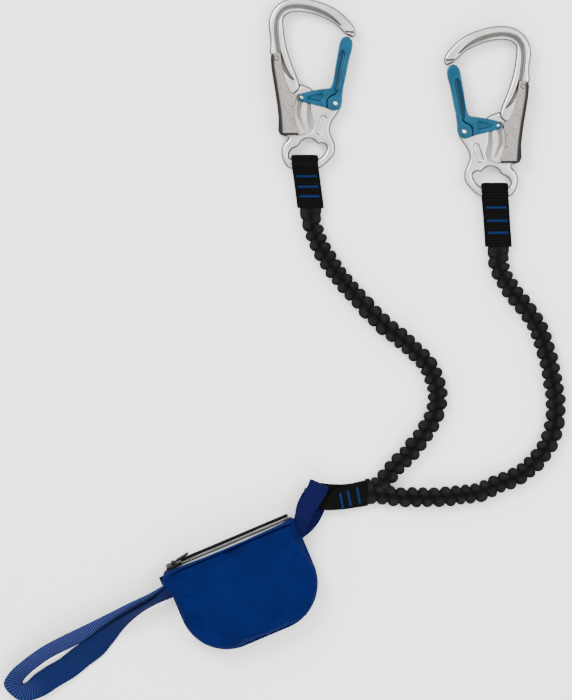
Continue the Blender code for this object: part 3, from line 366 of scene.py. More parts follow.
def zip_metal():
    look = Look("zip_black_fine", metallic=0.1, specular_ior_level=0.12)
    fine, wear = look.noise(1500, 4), look.noise(260, 4)
    colour = look.mix(wear.ramp(0.42, 0.72), (0.001,) * 3, (0.006,) * 3)
    return look.set(colour, 0.28 + 0.25 * fine + 0.1 * wear, fine + wear, 0.00004)


def make_looks():
    """Every finish by its name, made once."""
    blue = ((0.0006, 0.0010, 0.010), (0.0105, 0.0120, 0.076))
    steel_blue = ((0.0030, 0.006, 0.036), (0.052, 0.072, 0.215))
    black = ((0.0002,) * 3, (0.0090, 0.0084, 0.0080))
    return {
        "forged_aluminium": forged_aluminium(),
        "blue_anodised": blue_anodised(),
        "housing_alloy": housing_alloy(),
        "pin_steel": pin_steel(),
        "black_webbing": webbing_look("black_webbing_fine", BLACK_RIB, *black),
        "blue_webbing": webbing_look("blue_webbing_fine", BLUE_RIB, *blue),
        "harness_webbing": webbing_look("harness_webbing_fine", BLUE_RIB, *steel_blue),
        "arm_weave": knit_look("arm_weave_fine", black[0], (0.0460, 0.0425, 0.0400)),
        "blue_thread": thread_look(),
        "pouch_fabric": pouch_fabric(),
        "zip_tape": zip_tape(),
        "zip_teeth": zip_teeth(),
        "zip_black": zip_metal(),
    }


# Mesh tools
# How steep a wall must be to lose some of the painted rim shade, and how much of it the wall loses
WALL_LEVEL = 0.4
WALL_LIGHT = 0.85
WELD_DISTANCE = 0.00001
PRESSED_LAYER = 0.0004


def new_object(name, data):
    """An object in the scene with this data."""
    made = bpy.data.objects.new(name, data)
    bpy.context.scene.collection.objects.link(made)
    return made


def add_piece(name, mesh, look, *nodes, body="lanyard", slot=None, matrix=None):
    """A piece with its finish, on its body, standing for its CAD nodes."""
    mesh.materials.clear()
    mesh.materials.append(LOOKS[look])
    mesh.shade_smooth()
    piece = new_object(name, mesh)
    if matrix is not None:
        piece.matrix_world = matrix
    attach(piece, body)
    if nodes:
        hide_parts(*nodes)
    return piece


def to_mesh(shape, name):
    bmesh.ops.recalc_face_normals(shape, faces=shape.faces)
    mesh = bpy.data.meshes.new(name)
    shape.to_mesh(mesh)
    shape.free()
    return mesh


def on_grid(shares):
    return [Vector((x * GRID, y * GRID)) for x, y in shares]


def drawn(shares, steps=4, closed=False):
    """A smooth line through places on the carabiner's grid."""
    return smooth(on_grid(shares), steps, closed)


def modify(piece, kind, **values):
    return with_values(piece.modifiers.new(kind, kind), **values)


def welded(mesh):
    shape = bmesh.new()
    shape.from_mesh(mesh)
    bmesh.ops.remove_doubles(shape, verts=shape.verts, dist=WELD_DISTANCE)
    return shape


def outline_mesh(name, outline, thickness, rounding=0.0, hole=()):
    """A flat clockwise outline with its thickness, its rims rounded and a hole if one is given."""
    curve = with_values(
        bpy.data.curves.new(name, "CURVE"), dimensions="2D", fill_mode="BOTH", offset=-rounding,
        extrude=thickness / 2 - rounding, bevel_depth=rounding, bevel_resolution=3,
    )
    for line in (outline, hole[::-1]):
        if not line:
            continue
        spline = curve.splines.new("POLY")
        spline.points.add(len(line) - 1)
        for point, place in zip(spline.points, line):
            point.co = (place[0], place[1], 0, 1)
        spline.use_cyclic_u = True
    return to_mesh(welded(evaluated(new_object(name, curve))), name)


def evaluated(obj):
    """The mesh that an object shows with its modifiers. The object itself is removed."""
    graph = bpy.context.evaluated_depsgraph_get()
    mesh = bpy.data.meshes.new_from_object(obj.evaluated_get(graph))
    bpy.data.objects.remove(obj)
    return mesh


def capsule(start, end, radius, sides=12):
    """The clockwise outline of a slot with round ends."""
    along = math.atan2(end.y - start.y, end.x - start.x)
    points = []
    for centre, first in ((end, math.pi / 2), (start, -math.pi / 2)):
        for k in range(sides + 1):
            angle = along + first - math.pi * k / sides
            points.append(centre + radius * Vector((math.cos(angle), math.sin(angle))))
    return points


def cylinder(radius, length, centre):
    shape = bmesh.new()
    bmesh.ops.create_cone(
        shape, cap_ends=True, segments=32, radius1=radius, radius2=radius, depth=length,
        matrix=Matrix.Translation(centre),
    )
    return to_mesh(shape, "cylinder")


def box_mesh(name, size, centre):
    shape = bmesh.new()
    bmesh.ops.create_cube(shape, size=1)
    bmesh.ops.scale(shape, vec=size, verts=shape.verts)
    bmesh.ops.translate(shape, vec=centre, verts=shape.verts)
    return to_mesh(shape, name)


def carve(base, steps, voxel=0.0, smoothing=0):
    """The base mesh after Boolean steps of (operation, mesh), then remeshed into one soft skin."""
    holder = new_object("work", base)
    others = []
    for operation, mesh in steps:
        others.append(new_object("other", mesh))
        modify(holder, "BOOLEAN", operation=operation, object=others[-1], solver="EXACT")
    if voxel:
        modify(holder, "REMESH", mode="VOXEL", voxel_size=voxel)
        modify(holder, "SMOOTH", factor=0.5, iterations=smoothing)
    mesh = evaluated(holder)
    for other in others:
        bpy.data.objects.remove(other)
    return mesh


def loft(rings, uvs=None, name="loft"):
    """Rings of like count as one skin, with UVs of metres across and along."""
    shape = bmesh.new()
    rows = [[shape.verts.new(p) for p in ring] for ring in rings]
    layer = shape.loops.layers.uv.new("weave") if uvs else None
    count = len(rings[0])
    for i, (low, high) in enumerate(zip(rows, rows[1:])):
        for k in range(count):
            n = (k + 1) % count
            face = shape.faces.new((low[k], low[n], high[n], high[k]))
            if layer:
                spots = ((k, i), (k + 1, i), (k + 1, i + 1), (k, i + 1))
                for corner, (c, r) in zip(face.loops, spots):
                    corner[layer].uv = (uvs[0][c], uvs[1][r])
    shape.faces.new(rows[0][::-1])
    shape.faces.new(rows[-1])
    return to_mesh(shape, name)


def paint(mesh, name, values):
    """A number at each point of the mesh, for its material."""
    layer = mesh.attributes.new(name, "FLOAT", "POINT")
    layer.data.foreach_set("value", np.clip(values, 0, 1).astype(np.float32))


def points_of(mesh, key="co"):
    """The mesh's points, or with the key normal their normals."""
    rows = np.empty(len(mesh.vertices) * 3, np.float32)
    mesh.vertices.foreach_get(key, rows)
    return rows.reshape(-1, 3).astype(float)


def set_points(mesh, at):
    mesh.vertices.foreach_set("co", at.astype(np.float32).ravel())
    mesh.update()


def painted_rim_shade(mesh, low=0.3, high=0.85):
    """Painted shade along each rim: 0 on flat faces, 1 on the rounding, less on the walls."""
    level = np.abs(points_of(mesh, "normal")[:, 2])
    share = np.clip((high - level) / (high - low), 0, 1)
    wall = np.clip((WALL_LEVEL - level) / WALL_LEVEL, 0, 1)
    return share * share * (3 - 2 * share) * (1 - WALL_LIGHT * wall**0.5)


def spans(points, line):
    """For each span of a plan line, every point's share along it and distance from it."""
    flat = points[:, :2]
    for a, b in zip(line, line[1:]):
        a, b = np.array(a[:2]), np.array(b[:2])
        way = b - a
        t = np.clip(((flat - a) @ way) / max(way @ way, 1e-18), 0, 1)
        yield t, np.linalg.norm(flat - a - t[:, None] * way, axis=1)


def line_distance(points, line):
    """Each point's distance in plan from a polyline."""
    best = np.inf
    for _, far in spans(points, line):
        best = np.minimum(best, far)
    return best


def press(at, line, halves, depth, level):
    """Presses a round groove along a plan line into both faces, and gives each point's share of it."""
    ratio = np.inf
    for i, (t, far) in enumerate(spans(at, line)):
        ratio = np.minimum(ratio, far / (halves[i] + (halves[i + 1] - halves[i]) * t))
    deep = np.sqrt(np.clip(1 - ratio**2, 0, 1)) * (np.abs(at[:, 2]) > level - PRESSED_LAYER)
    at[:, 2] -= np.sign(at[:, 2]) * depth * deep
    return deep


def tube(points, radius, sides=8):
    """A round tube along points, its rings kept square to it."""
    line = [Vector(p) for p in points]
    rings, side = [], None
    for i, place in enumerate(line):
        way = (line[min(i + 1, len(line) - 1)] - line[max(i - 1, 0)]).normalized()
        if side is None:
            side = way.orthogonal().normalized()
        side = (side - way * side.dot(way)).normalized()
        other = way.cross(side)
        angles = [2 * math.pi * k / sides for k in range(sides)]
        rings.append([place + radius * (side * math.cos(a) + other * math.sin(a)) for a in angles])
    return loft(rings)


def merge(meshes, name):
    """Several meshes as one."""
    shape = bmesh.new()
    for mesh in meshes:
        shape.from_mesh(mesh)
    made = bpy.data.meshes.new(name)
    shape.to_mesh(made)
    shape.free()
    return made


# Outlines of the carabiner, on its grid, from the gate's pivot
FRAME_BOW_SHARES = [
    (-20.9, 72.4), (-18.8, 79.5), (-12.6, 87.0), (-4.2, 94.8), (6.6, 101.2), (23.3, 106.8),
    (36.4, 108.6), (48.8, 107.4), (58.6, 102.3), (65.4, 93.8), (68.4, 84.5), (68.4, 76), (67.0, 66.9),
    (67.0, 59.2), (67.3, 52.8), (66.2, 49.7), (63.9, 48.0), (63.6, 42), (62.1, 31.9),
    (58.6, 16), (57.2, 10.4), (54.5, 8.6), (50, 8.3), (45, 8.6), (41.6, 10.6), (38.4, 13.4),
    (36.6, 16.2), (36.6, 19.8), (37.7, 24.0), (39.6, 29.2), (44, 40.1), (47.8, 51.5), (50.9, 63),
    (52.4, 74.5), (53.2, 86), (50.1, 90.6), (44, 93.6), (32.5, 93.6), (17.2, 89.8), (1.9, 82.2),
    (-5.0, 76.0), (-8.8, 72.6), (-13.6, 69.9), (-18.7, 67.9),
]
FRAME_PLATE_SHARES = [
    (46, 22), (54, 22), (57, 18), (57.0, 12), (55.9, 3.8), (52.7, -14), (50.4, -31.0),
    (48.4, -35.6), (52.2, -39.6), (55.0, -45.3), (55.3, -52.3), (53.3, -59.3), (49.6, -64.8),
    (44.9, -66.5), (38, -66.6), (25, -66.6), (17.5, -66.3), (12, -63.6), (6.3, -58.3),
    (1.4, -52.3), (0, -46.7), (0.7, -40.4), (3.5, -33.3), (5.3, -28.4), (4.9, -22.8),
    (2.1, -16.5), (-1.8, -11.0), (-5.6, -4.6), (-6.6, 0), (-5.4, 4.2), (-1.5, 7.0), (5, 8),
    (12, 8.6), (19, 11.2), (27, 17.4), (36, 20.6),
]
EYE_SHARES = [
    (9.1, -45.9), (10.2, -42.1), (14.1, -40.4), (17.6, -41.1), (20.4, -38.6), (23.2, -36.4),
    (27.4, -35.4), (31.6, -36.4), (35.1, -39), (37.6, -43), (41.4, -45.0), (44.9, -47.2),
    (47.2, -50.9), (47.3, -54.2), (45.4, -56.0), (36, -56.1), (25, -56.1), (18, -56.0),
    (13.5, -53.6),
]
CAVITY_SHARES = [
    (25.8, 4), (28, 9.3), (38.5, 9.3), (40.4, 5.6), (47.3, 5.4), (47.3, -6), (47.2, -18),
    (45.4, -25.6), (41.8, -30.9), (38.3, -32), (32.6, -32.2), (26.4, -30.4), (22.8, -26.5),
    (21.8, -22.8), (22.6, -17), (24.7, -10.2), (25.0, -3.2),
]
BOW_GROOVE_SHARES = [
    (-6, 79.5), (4, 88), (14, 93.6), (26, 98), (38, 99.8), (48, 98.6), (55, 94), (59.5, 86),
    (60.6, 76), (59.8, 66), (58.5, 56), (55.5, 45), (51.5, 35.5), (46.5, 28), (42, 23.5),
]
NOSE_SEAM_SHARES = [(-22, 73.0), (-14, 73.4), (-5.0, 73.6)]
BOW_FOOT_SHARES = [(38, 15), (42, 10.5), (54, 9.0)]
OBLONG_ENDS_SHARES = [(12.3, -15.1), (16.5, -28.4)]
GATE_SHARES = [
    (-17.6, 59.5), (-16.9, 65.0), (-12.2, 68.6), (-7.2, 67.2), (-4.4, 62.5), (-3.0, 55.4),
    (-0.3, 40.5), (0.9, 31.9), (2.2, 24.9), (4.0, 18.6), (6.2, 15.9), (14.1, 14.9),
    (24.6, 13.2), (33.0, 10.9), (36.6, 9.3), (38.1, 6.6), (37.4, 4.0), (35.1, 2.5), (22.5, -1.1),
    (12, -3.6), (7.5, -5.4), (2.5, -7.2), (-2.5, -6.6), (-5.8, -3.0), (-7.0, 2), (-7.2, 8),
    (-8.6, 17.9), (-10.2, 24.8), (-13.9, 43.9), (-16.6, 53.4),
]
GATE_GROOVE_SHARES = [(-7.6, 54), (-6.2, 45), (-4.2, 36), (-2.9, 28), (-1.7, 20), (0.0, 13)]
GATE_BOSS_SHARES = [(-2.2, 13), (0.5, 9.5), (4.5, 7.6), (7.6, 4.6), (8.6, 0.5), (8.3, -4.5)]
GATE_RECESS_SHARES = [(13.0, 9.3), (17.5, 9.9), (27.9, 7.0), (27.9, 5.2), (16.2, 2.4), (13.2, 3.4)]
FORK_TOP_SHARE = 17.5
LATCH_PIN_SHARES = (34.5, 6.2)
PALM_PIN_SHARES = (60.1, 46.2)
HOUSING_SHARES = [
    (56.3, 50.6), (60.5, 52.2), (64.5, 50.6), (66.2, 47.7), (65.9, 40), (64.9, 31.9),
    (60.4, 3.8), (58.3, -14), (56.9, -31.2), (37.9, -31.2), (40.2, -22.8), (41.9, -13.7),
    (42.2, -6.7), (40.9, 1.0), (39.6, 8.0), (41.4, 8.9), (44.9, 11.6), (49.1, 19.3),
    (51.2, 24.5), (54.7, 40.1),
]
HOUSING_HOLLOW_SHARES = [
    (75, 47.4), (64.7, 47.2), (64.5, 40), (63.5, 31.9), (59.0, 3.8), (56.9, -14),
    (55.5, -31), (55.2, -40), (25, -40), (25, 60), (75, 60),
]
SPINE_SHARES = [(57.4, -32), (58.6, -14), (60.8, 3.8), (65.4, 31.9), (66.4, 40), (66.9, 49)]
HOUSING_FOOT_SHARES = [(37, -31.4), (58, -31.4)]
LOCK_RIVETS_SHARES = [(43.9, -3.5), (43.9, -16.0)]
RIVET_RADIUS = 0.0008
LATCH_RADIUS = 0.0012
POCKET_DEPTH = 0.0024
POCKET_RADIUS = 0.0028
GROOVE_DEPTH = 0.0008
BOW_GROOVE_HALF = 0.0018
BOW_GROOVE_DEPTH = 0.0012
BOW_FOOT_FADE = 0.003
SEAM_HALF = 0.0008
SEAM_DEPTH = 0.0009
OBLONG_HALF = 0.0024
OBLONG_CUTTER = 0.004
OBLONG_LIFT = 0.0008
FORGED_ROUNDING = 0.0024
GATE_ROUNDING = 0.0008
GATE_GROOVE_HALF = 0.0022
BOSS_LINE_HALF = 0.0005
RECESS_SHADE_FROM, RECESS_SHADE_FADE = 0.0003, 0.0007
HOUSING_ROUNDING = 0.0005
SPINE_STRIP, SPINE_FADE = 0.0024, 0.0014
FOOT_STRIP, FOOT_FADE = 0.0008, 0.0003
INSIDE_SKIN = 0.0001


def taper(count, half, first, last):
    """Half widths along a groove that narrows over its first and last shares."""
    found = []
    for i in range(count):
        t = i / (count - 1)
        ends = min(t / first if first else 1, (1 - t) / last if last else 1, 1)
        found.append(half * (0.12 + 0.88 * math.sin(math.pi / 2 * ends)))
    return found


def bore(centre, radius):
    return ("DIFFERENCE", cylinder(radius, 0.05, (centre[0], centre[1], 0)))


def frame_mesh():
    """The forged hook with its groove, tang, cavity and ring, as one softly rounded skin."""
    groove, seam = drawn(BOW_GROOVE_SHARES), drawn(NOSE_SEAM_SHARES)
    palm = Vector(PALM_PIN_SHARES) * GRID
    base = outline_mesh("bow", drawn(FRAME_BOW_SHARES, 3, True), BOW_THICKNESS, FORGED_ROUNDING)
    plate, eye = drawn(FRAME_PLATE_SHARES, 3, True), drawn(EYE_SHARES, 3, True)
    steps = [
        ("UNION", outline_mesh("plate", plate, PLATE_THICKNESS, FORGED_ROUNDING, eye)),
        ("DIFFERENCE", outline_mesh("cavity", drawn(CAVITY_SHARES, 2, True), 0.05)),
        bore((0, 0), GATE_PIN_RADIUS + PIN_CLEARANCE),
        bore(palm, GATE_PIN_RADIUS + PIN_CLEARANCE),
    ]
    for centre, top in (((0, 0), PLATE_THICKNESS / 2), (palm, BOW_THICKNESS / 2)):
        pocket = cylinder(POCKET_RADIUS, 2 * POCKET_DEPTH, (centre[0], centre[1], top))
        steps.append(("DIFFERENCE", pocket))
    start, end = on_grid(OBLONG_ENDS_SHARES)
    for sign in (-1, 1):
        slot = outline_mesh("oblong", capsule(start, end, OBLONG_HALF), OBLONG_CUTTER)
        slot.transform(Matrix.Translation((0, 0, sign * (PLATE_THICKNESS / 2 + OBLONG_LIFT))))
        steps.append(("DIFFERENCE", slot))
    mesh = carve(base, steps, FRAME_VOXEL, 6)
    at = points_of(mesh)
    level = BOW_THICKNESS / 2
    halves = taper(len(groove), BOW_GROOVE_HALF, 0.16, 0.2)
    deep = 0.9 * press(at, groove, halves, BOW_GROOVE_DEPTH, level)
    deep = np.maximum(deep, press(at, seam, [SEAM_HALF] * len(seam), SEAM_DEPTH, level))
    set_points(mesh, at)
    foot = np.clip(line_distance(at, on_grid(BOW_FOOT_SHARES)) / BOW_FOOT_FADE, 0, 1)
    # Painted shade in the groove and seam, and along the rims away from the bow's foot
    paint(mesh, "shade", np.maximum(deep, foot * painted_rim_shade(mesh, 0.5, 0.995)))
    return mesh


def gate_mesh():
    """The anodised gate: a forked arm with a long groove and a three-cornered recess."""
    base = outline_mesh("gate", drawn(GATE_SHARES, 3, True), GATE_WIDTH, GATE_ROUNDING)
    groove, boss = drawn(GATE_GROOVE_SHARES), drawn(GATE_BOSS_SHARES)
    slot = PLATE_THICKNESS / 2 + SEAT_GAP
    fork = box_mesh("fork", (0.1, 0.05, 2 * slot), (0, FORK_TOP_SHARE * GRID - 0.025, 0))
    steps = [
        ("DIFFERENCE", fork),
        bore((0, 0), GATE_PIN_RADIUS + BORE_GAP),
        bore(Vector(LATCH_PIN_SHARES) * GRID, LATCH_RADIUS + BORE_GAP),
    ]
    recess = drawn(GATE_RECESS_SHARES, 2, True)
    for sign in (-1, 1):
        hollow = outline_mesh("recess", recess, 2 * GROOVE_DEPTH)
        hollow.transform(Matrix.Translation((0, 0, sign * GATE_WIDTH / 2)))
        steps.append(("DIFFERENCE", hollow))
    mesh = carve(base, steps, PLATE_VOXEL, 5)
    at = points_of(mesh)
    level = GATE_WIDTH / 2
    halves = taper(len(groove), GATE_GROOVE_HALF, 0.12, 0.3)
    deep = 0.8 * press(at, groove, halves, 1.2 * GROOVE_DEPTH, level)
    deep = np.maximum(deep, press(at, boss, [BOSS_LINE_HALF] * len(boss), GROOVE_DEPTH, level))
    set_points(mesh, at)
    sunk = np.clip((level - np.abs(at[:, 2]) - RECESS_SHADE_FROM) / RECESS_SHADE_FADE, 0, 1)
    # Painted shade in the groove, on the boss line, in the recess and along the rims
    paint(mesh, "shade", np.maximum(np.maximum(deep, 0.35 * sunk), painted_rim_shade(mesh)))
    return mesh


def lever_mesh():
    """The bent housing round the spine that the palm squeezes."""
    base = outline_mesh("housing", drawn(HOUSING_SHARES, 3, True), 2 * HOUSING_OUTER, HOUSING_ROUNDING)
    hollow = outline_mesh("channel", on_grid(HOUSING_HOLLOW_SHARES), 2 * HOUSING_INNER)
    bores = [(PALM_PIN_SHARES, GATE_PIN_RADIUS + BORE_GAP)]
    bores += [(shares, RIVET_RADIUS) for shares in LOCK_RIVETS_SHARES]
    steps = [("DIFFERENCE", hollow), *(bore(Vector(shares) * GRID, radius) for shares, radius in bores)]
    mesh = carve(base, steps, PLATE_VOXEL, 5)
    at = points_of(mesh)
    spine = 1 - (line_distance(at, drawn(SPINE_SHARES)) - SPINE_STRIP) / SPINE_FADE
    foot = 1 - (line_distance(at, on_grid(HOUSING_FOOT_SHARES)) - FOOT_STRIP) / FOOT_FADE
    inside = (np.abs(at[:, 2]) < HOUSING_INNER + INSIDE_SKIN) * 0.9
    dark = np.maximum(np.maximum(spine, foot), inside)
    # Painted shade along the rims, over the dark spine, foot and inside of the channel
    paint(mesh, "shade", np.maximum(dark, 0.9 * painted_rim_shade(mesh)))
    return mesh


def pin_mesh(radius, length, sides=36):
    """A turned pin with rounded rims and a small dimple in each head."""
    half = length / 2
    rim = 0.18 * radius
    profile = [(0.02, -0.35), (0.30, -0.3), (0.42, 0.0), (0.82, 0.0), (0.93, 0.35), (1.0, 1.0)]
    heights = [(share * radius, drop * rim - half) for share, drop in profile]
    heights += [(wide, -z) for wide, z in heights[::-1]]
    angles = [2 * math.pi * k / sides for k in range(sides)]
    rings = [[(wide * math.cos(a), wide * math.sin(a), z) for a in angles] for wide, z in heights]
    mesh = loft(rings)
    out = np.linalg.norm(points_of(mesh)[:, :2], axis=1) / radius
    paint(mesh, "shade", (out - 0.78) / 0.12)
    return mesh


def side_place(side):
    """Where a carabiner's pivot lies; the left one is the same product turned over."""
    low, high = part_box(f"frame_{side}")
    middle = (low[2] + high[2]) / 2
    place = Matrix.Translation(floor_place(PIVOTS_PX[side]) + Vector((0, 0, middle)))
    return place @ Matrix.Rotation(math.pi, 4, "Y") if side == "left" else place


def make_forgings():
    """The frames, gates and palm levers, each shape made once for both carabiners."""
    rows = (
        ("forged_frame", frame_mesh(), "forged_aluminium", "carabiner_{}", "frame_{}"),
        ("anodised_gate", gate_mesh(), "blue_anodised", "gate_{}_body", "gate_{}"),
        ("palm_housing", lever_mesh(), "housing_alloy", "palm_lever_{}_body", "palm_lever_{}"),
    )
    for name, mesh, look, body, node in rows:
        for side in ("left", "right"):
            add_piece(
                f"{name}_{side}", mesh.copy(), look, node.format(side),
                body=body.format(side), matrix=side_place(side),
            )


def make_pins():
    """The pins and rivets as turned pieces, and fine metal for the springs and lock plates."""
    latch, palm = (Vector(share) * GRID for share in (LATCH_PIN_SHARES, PALM_PIN_SHARES))
    upper, lower = (Vector(share) * GRID for share in LOCK_RIVETS_SHARES)
    for side in ("left", "right"):
        lever = f"palm_lever_{side}_body"
        rows = [
            ("gate_pin", GATE_PIN_RADIUS, Vector((0, 0)), f"carabiner_{side}", "pin_steel"),
            ("palm_pin", GATE_PIN_RADIUS, palm, f"carabiner_{side}", "housing_alloy"),
            ("latch_pin", LATCH_RADIUS, latch, f"gate_{side}_body", "pin_steel"),
            ("lock_rivet_upper", RIVET_RADIUS, upper, lever, "housing_alloy"),
            ("lock_rivet_lower", RIVET_RADIUS, lower, lever, "housing_alloy"),
        ]
        for name, radius, centre, body, look in rows:
            node = f"{name}_{side}"
            low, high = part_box(node)
            matrix = side_place(side) @ Matrix.Translation((centre.x, centre.y, 0))
            mesh = pin_mesh(radius, high[2] - low[2])
            add_piece(f"turned_{node}", mesh, look, node, body=body, slot="pin_steel", matrix=matrix)
        dress(f"gate_spring_{side}", "pin_steel")
        dress(f"palm_spring_{side}", "pin_steel")
        dress(f"lock_plate_{side}", "forged_aluminium")


def dress(node, look):
    """A fine material for a CAD piece that is shown as it is."""
    mesh = NODES[node].data
    mesh.materials.clear()
    mesh.materials.append(LOOKS[look])


# Webbing
BAR_CENTRE_SHARES = (31.4, -61.35)
BAR_HALF_SHARE = 5.25
BAR_RIM = 0.0012
WRAP_CLEARANCE = 0.0005
STRAP_LENGTHS = {"left": 0.0314, "right": 0.0395}
STRAP_SLANTS = {"left": 0.0045, "right": 0.0030}
STRAP_SEWN_SHARE = 0.45
YOKE_LOW, YOKE_HIGH = 0.0014, 0.0086
YOKE_SEWN_BACK, YOKE_SEWN_FRONT = 0.0023, 0.0056
YOKE_RIB = 0.0014
TACK_SPAN = 0.0150
STRAP_HEM = 0.0018
SELVEDGE_RIPPLE, SELVEDGE_WOBBLE = 0.010, 0.008
THREAD_RADIUS = 0.00019
STITCH_CREST, STITCH_WANDER, STITCH_FOOT = 0.00035, 0.0001, 0.0001
LAID_HEIGHT = 0.0002
TACK_SUNK = 0.0003
LOWER_STRAND_SHARE, LOWER_STRAND_FADE = 0.44, 0.12


def wobble(x, seed):
    """A gentle, repeatable wander between -1 and 1."""
    return noise.noise(Vector((x, seed * 7.3, 0.5)))


def swell(x, power):
    return math.copysign(abs(x) ** power, x)


def webbing_mesh(name, stations, thickness, rib, steps, sides=16):
    """Woven webbing through (place, half width vector): ribbed faces, nubbly selvedges."""
    places = smooth([s[0] for s in stations], steps)
    halves = smooth([s[1] for s in stations], steps)
    along, line, half = resample(places, rib / 4, halves)
    ways = np.gradient(line, axis=0)
    ways /= np.linalg.norm(ways, axis=1)[:, None]
    width = np.linalg.norm(half, axis=1)
    across = half / width[:, None]
    ups = np.cross(ways, across)
    ups /= np.linalg.norm(ups, axis=1)[:, None]
    rings = []
    angles = [2 * math.pi * (k + 0.5) / sides for k in range(sides)]
    shares = [(swell(math.cos(a), 0.42), swell(math.sin(a), 0.62)) for a in angles]
    for i, at in enumerate(along):
        ripple = abs(math.sin(math.pi * at / rib))
        thick = thickness / 2 * (0.90 + 0.16 * ripple)
        place, side, up = Vector(line[i]), Vector(across[i]), Vector(ups[i])
        ring = []
        for x, z in shares:
            wander = SELVEDGE_WOBBLE * wobble(at * 900, 1 if x > 0 else 2)
            edge = 1 + (SELVEDGE_RIPPLE * ripple + wander) * (abs(x) > 0.9)
            ring.append(place + side * (width[i] * x * edge) + up * (thick * z))
        rings.append(ring)
    spread = [width.mean() * 2 * k / (sides / 2) for k in range(sides + 1)]
    return loft(rings, (spread, list(along)), name)


def add_webbing(name, stations, thickness, rib, look, *nodes, steps=6, **place):
    """A piece of woven webbing."""
    mesh = webbing_mesh(name, stations, thickness, rib, steps)
    return add_piece(name, mesh, look, *nodes, **place)


def half_width(width, turn_deg, rise_deg=0.0):
    """Half the webbing's width as a vector, turned in plan and raised on edge."""
    turn, rise = math.radians(turn_deg), math.radians(rise_deg)
    way = Vector((math.cos(rise) * math.cos(turn), math.cos(rise) * math.sin(turn), math.sin(rise)))
    return way * width / 2


def stations_px(rows, width):
    """Webbing stations from (pixel x, pixel y, height, width share, turn, rise if not flat)."""
    return [
        (floor_place((x, y)) + Vector((0, 0, height)), half_width(width * share, *turns))
        for x, y, height, share, *turns in rows
    ]


def thread_mesh(points, radius):
    return tube(smooth([Vector(p) for p in points], 3), radius, 6)


def tack_mesh(span, width):
    """A bar tack: zigzag stitches over one laid thread, about its own middle."""
    turns = settings().tack_turns
    zigzag = []
    for k in range(2 * turns + 1):
        x = span * (k / (2 * turns) - 0.5)
        y = width / 2 * (1 if k % 2 else -1) * (0.88 + 0.12 * wobble(k * 0.9, 3))
        zigzag.append((x, 0.75 * y, STITCH_CREST + STITCH_WANDER * wobble(k * 0.7, 5)))
        zigzag.append((x + 0.15 * span / turns, y, STITCH_FOOT))
    laid = [(span * (k / 20 - 0.5), 0.09 * width * wobble(k * 1.3, 8), LAID_HEIGHT) for k in range(21)]
    threads = [thread_mesh(zigzag, THREAD_RADIUS), thread_mesh(laid, 1.15 * THREAD_RADIUS)]
    return merge(threads, "tack")


def make_straps():
    """Black webbing loops round the carabiners' bars."""
    low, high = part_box("frame_right")
    middle = (low[2] + high[2]) / 2
    reach = math.hypot(BAR_HALF_SHARE * GRID - BAR_RIM, PLATE_THICKNESS / 2 - BAR_RIM) + BAR_RIM
    radius = reach + WRAP_CLEARANCE + WEBBING_THICKNESS / 2
    spread = (WEBBING_THICKNESS + LAYER_GAP) / 2
    for side, sign in (("left", -1), ("right", 1)):
        length, slant = STRAP_LENGTHS[side], STRAP_SLANTS[side]
        offset = Vector((sign * BAR_CENTRE_SHARES[0] * GRID, BAR_CENTRE_SHARES[1] * GRID, middle))
        bar = floor_place(PIVOTS_PX[side]) + offset
        end = ARM_THICKNESS / 2 + SEAT_GAP - middle
        sewn = STRAP_SEWN_SHARE * length
        hem = length + STRAP_HEM
        profile = [(-hem, end + spread), (-sewn, end + spread)]
        for k in range(13):
            angle = math.radians(112 - 224 * k / 12)
            profile.append((radius * math.cos(angle), radius * math.sin(angle)))
        profile += [(-sewn, end - spread), (-hem, end - spread)]
        stations = []
        for y, z in profile:
            shift = slant * min(max(-y / length, 0), 1)
            stations.append((bar + Vector((shift, y, z)), Vector((BLACK_WIDTH / 2, 0, 0))))
        add_webbing(
            f"woven_strap_{side}", stations, WEBBING_THICKNESS, BLACK_RIB, "black_webbing",
            f"strap_{side}", steps=3,
        )
        for number in (1, 2, 3):
            lay_tack(f"strap_{side}_tack_{number}", TACK_SPAN)


def lay_tack(node, span):
    """A stitched bar tack laid on the webbing where its CAD pad lies."""
    corners = points_of(NODES[node].data)
    centre = corners.mean(axis=0)
    ways = np.linalg.svd(corners - centre, full_matrices=False)[2]
    along, up = Vector(ways[0]), Vector(ways[2])
    up = up if up.z > 0 else -up
    along = along if along.x + 0.01 * along.y > 0 else -along
    turn = Matrix((along, up.cross(along), up)).transposed().to_4x4()
    place = Matrix.Translation(Vector(centre) - up * TACK_SUNK)
    mesh = tack_mesh(span, settings().tack_width)
    add_piece(f"stitched_{node}", mesh, "blue_thread", node, matrix=place @ turn)


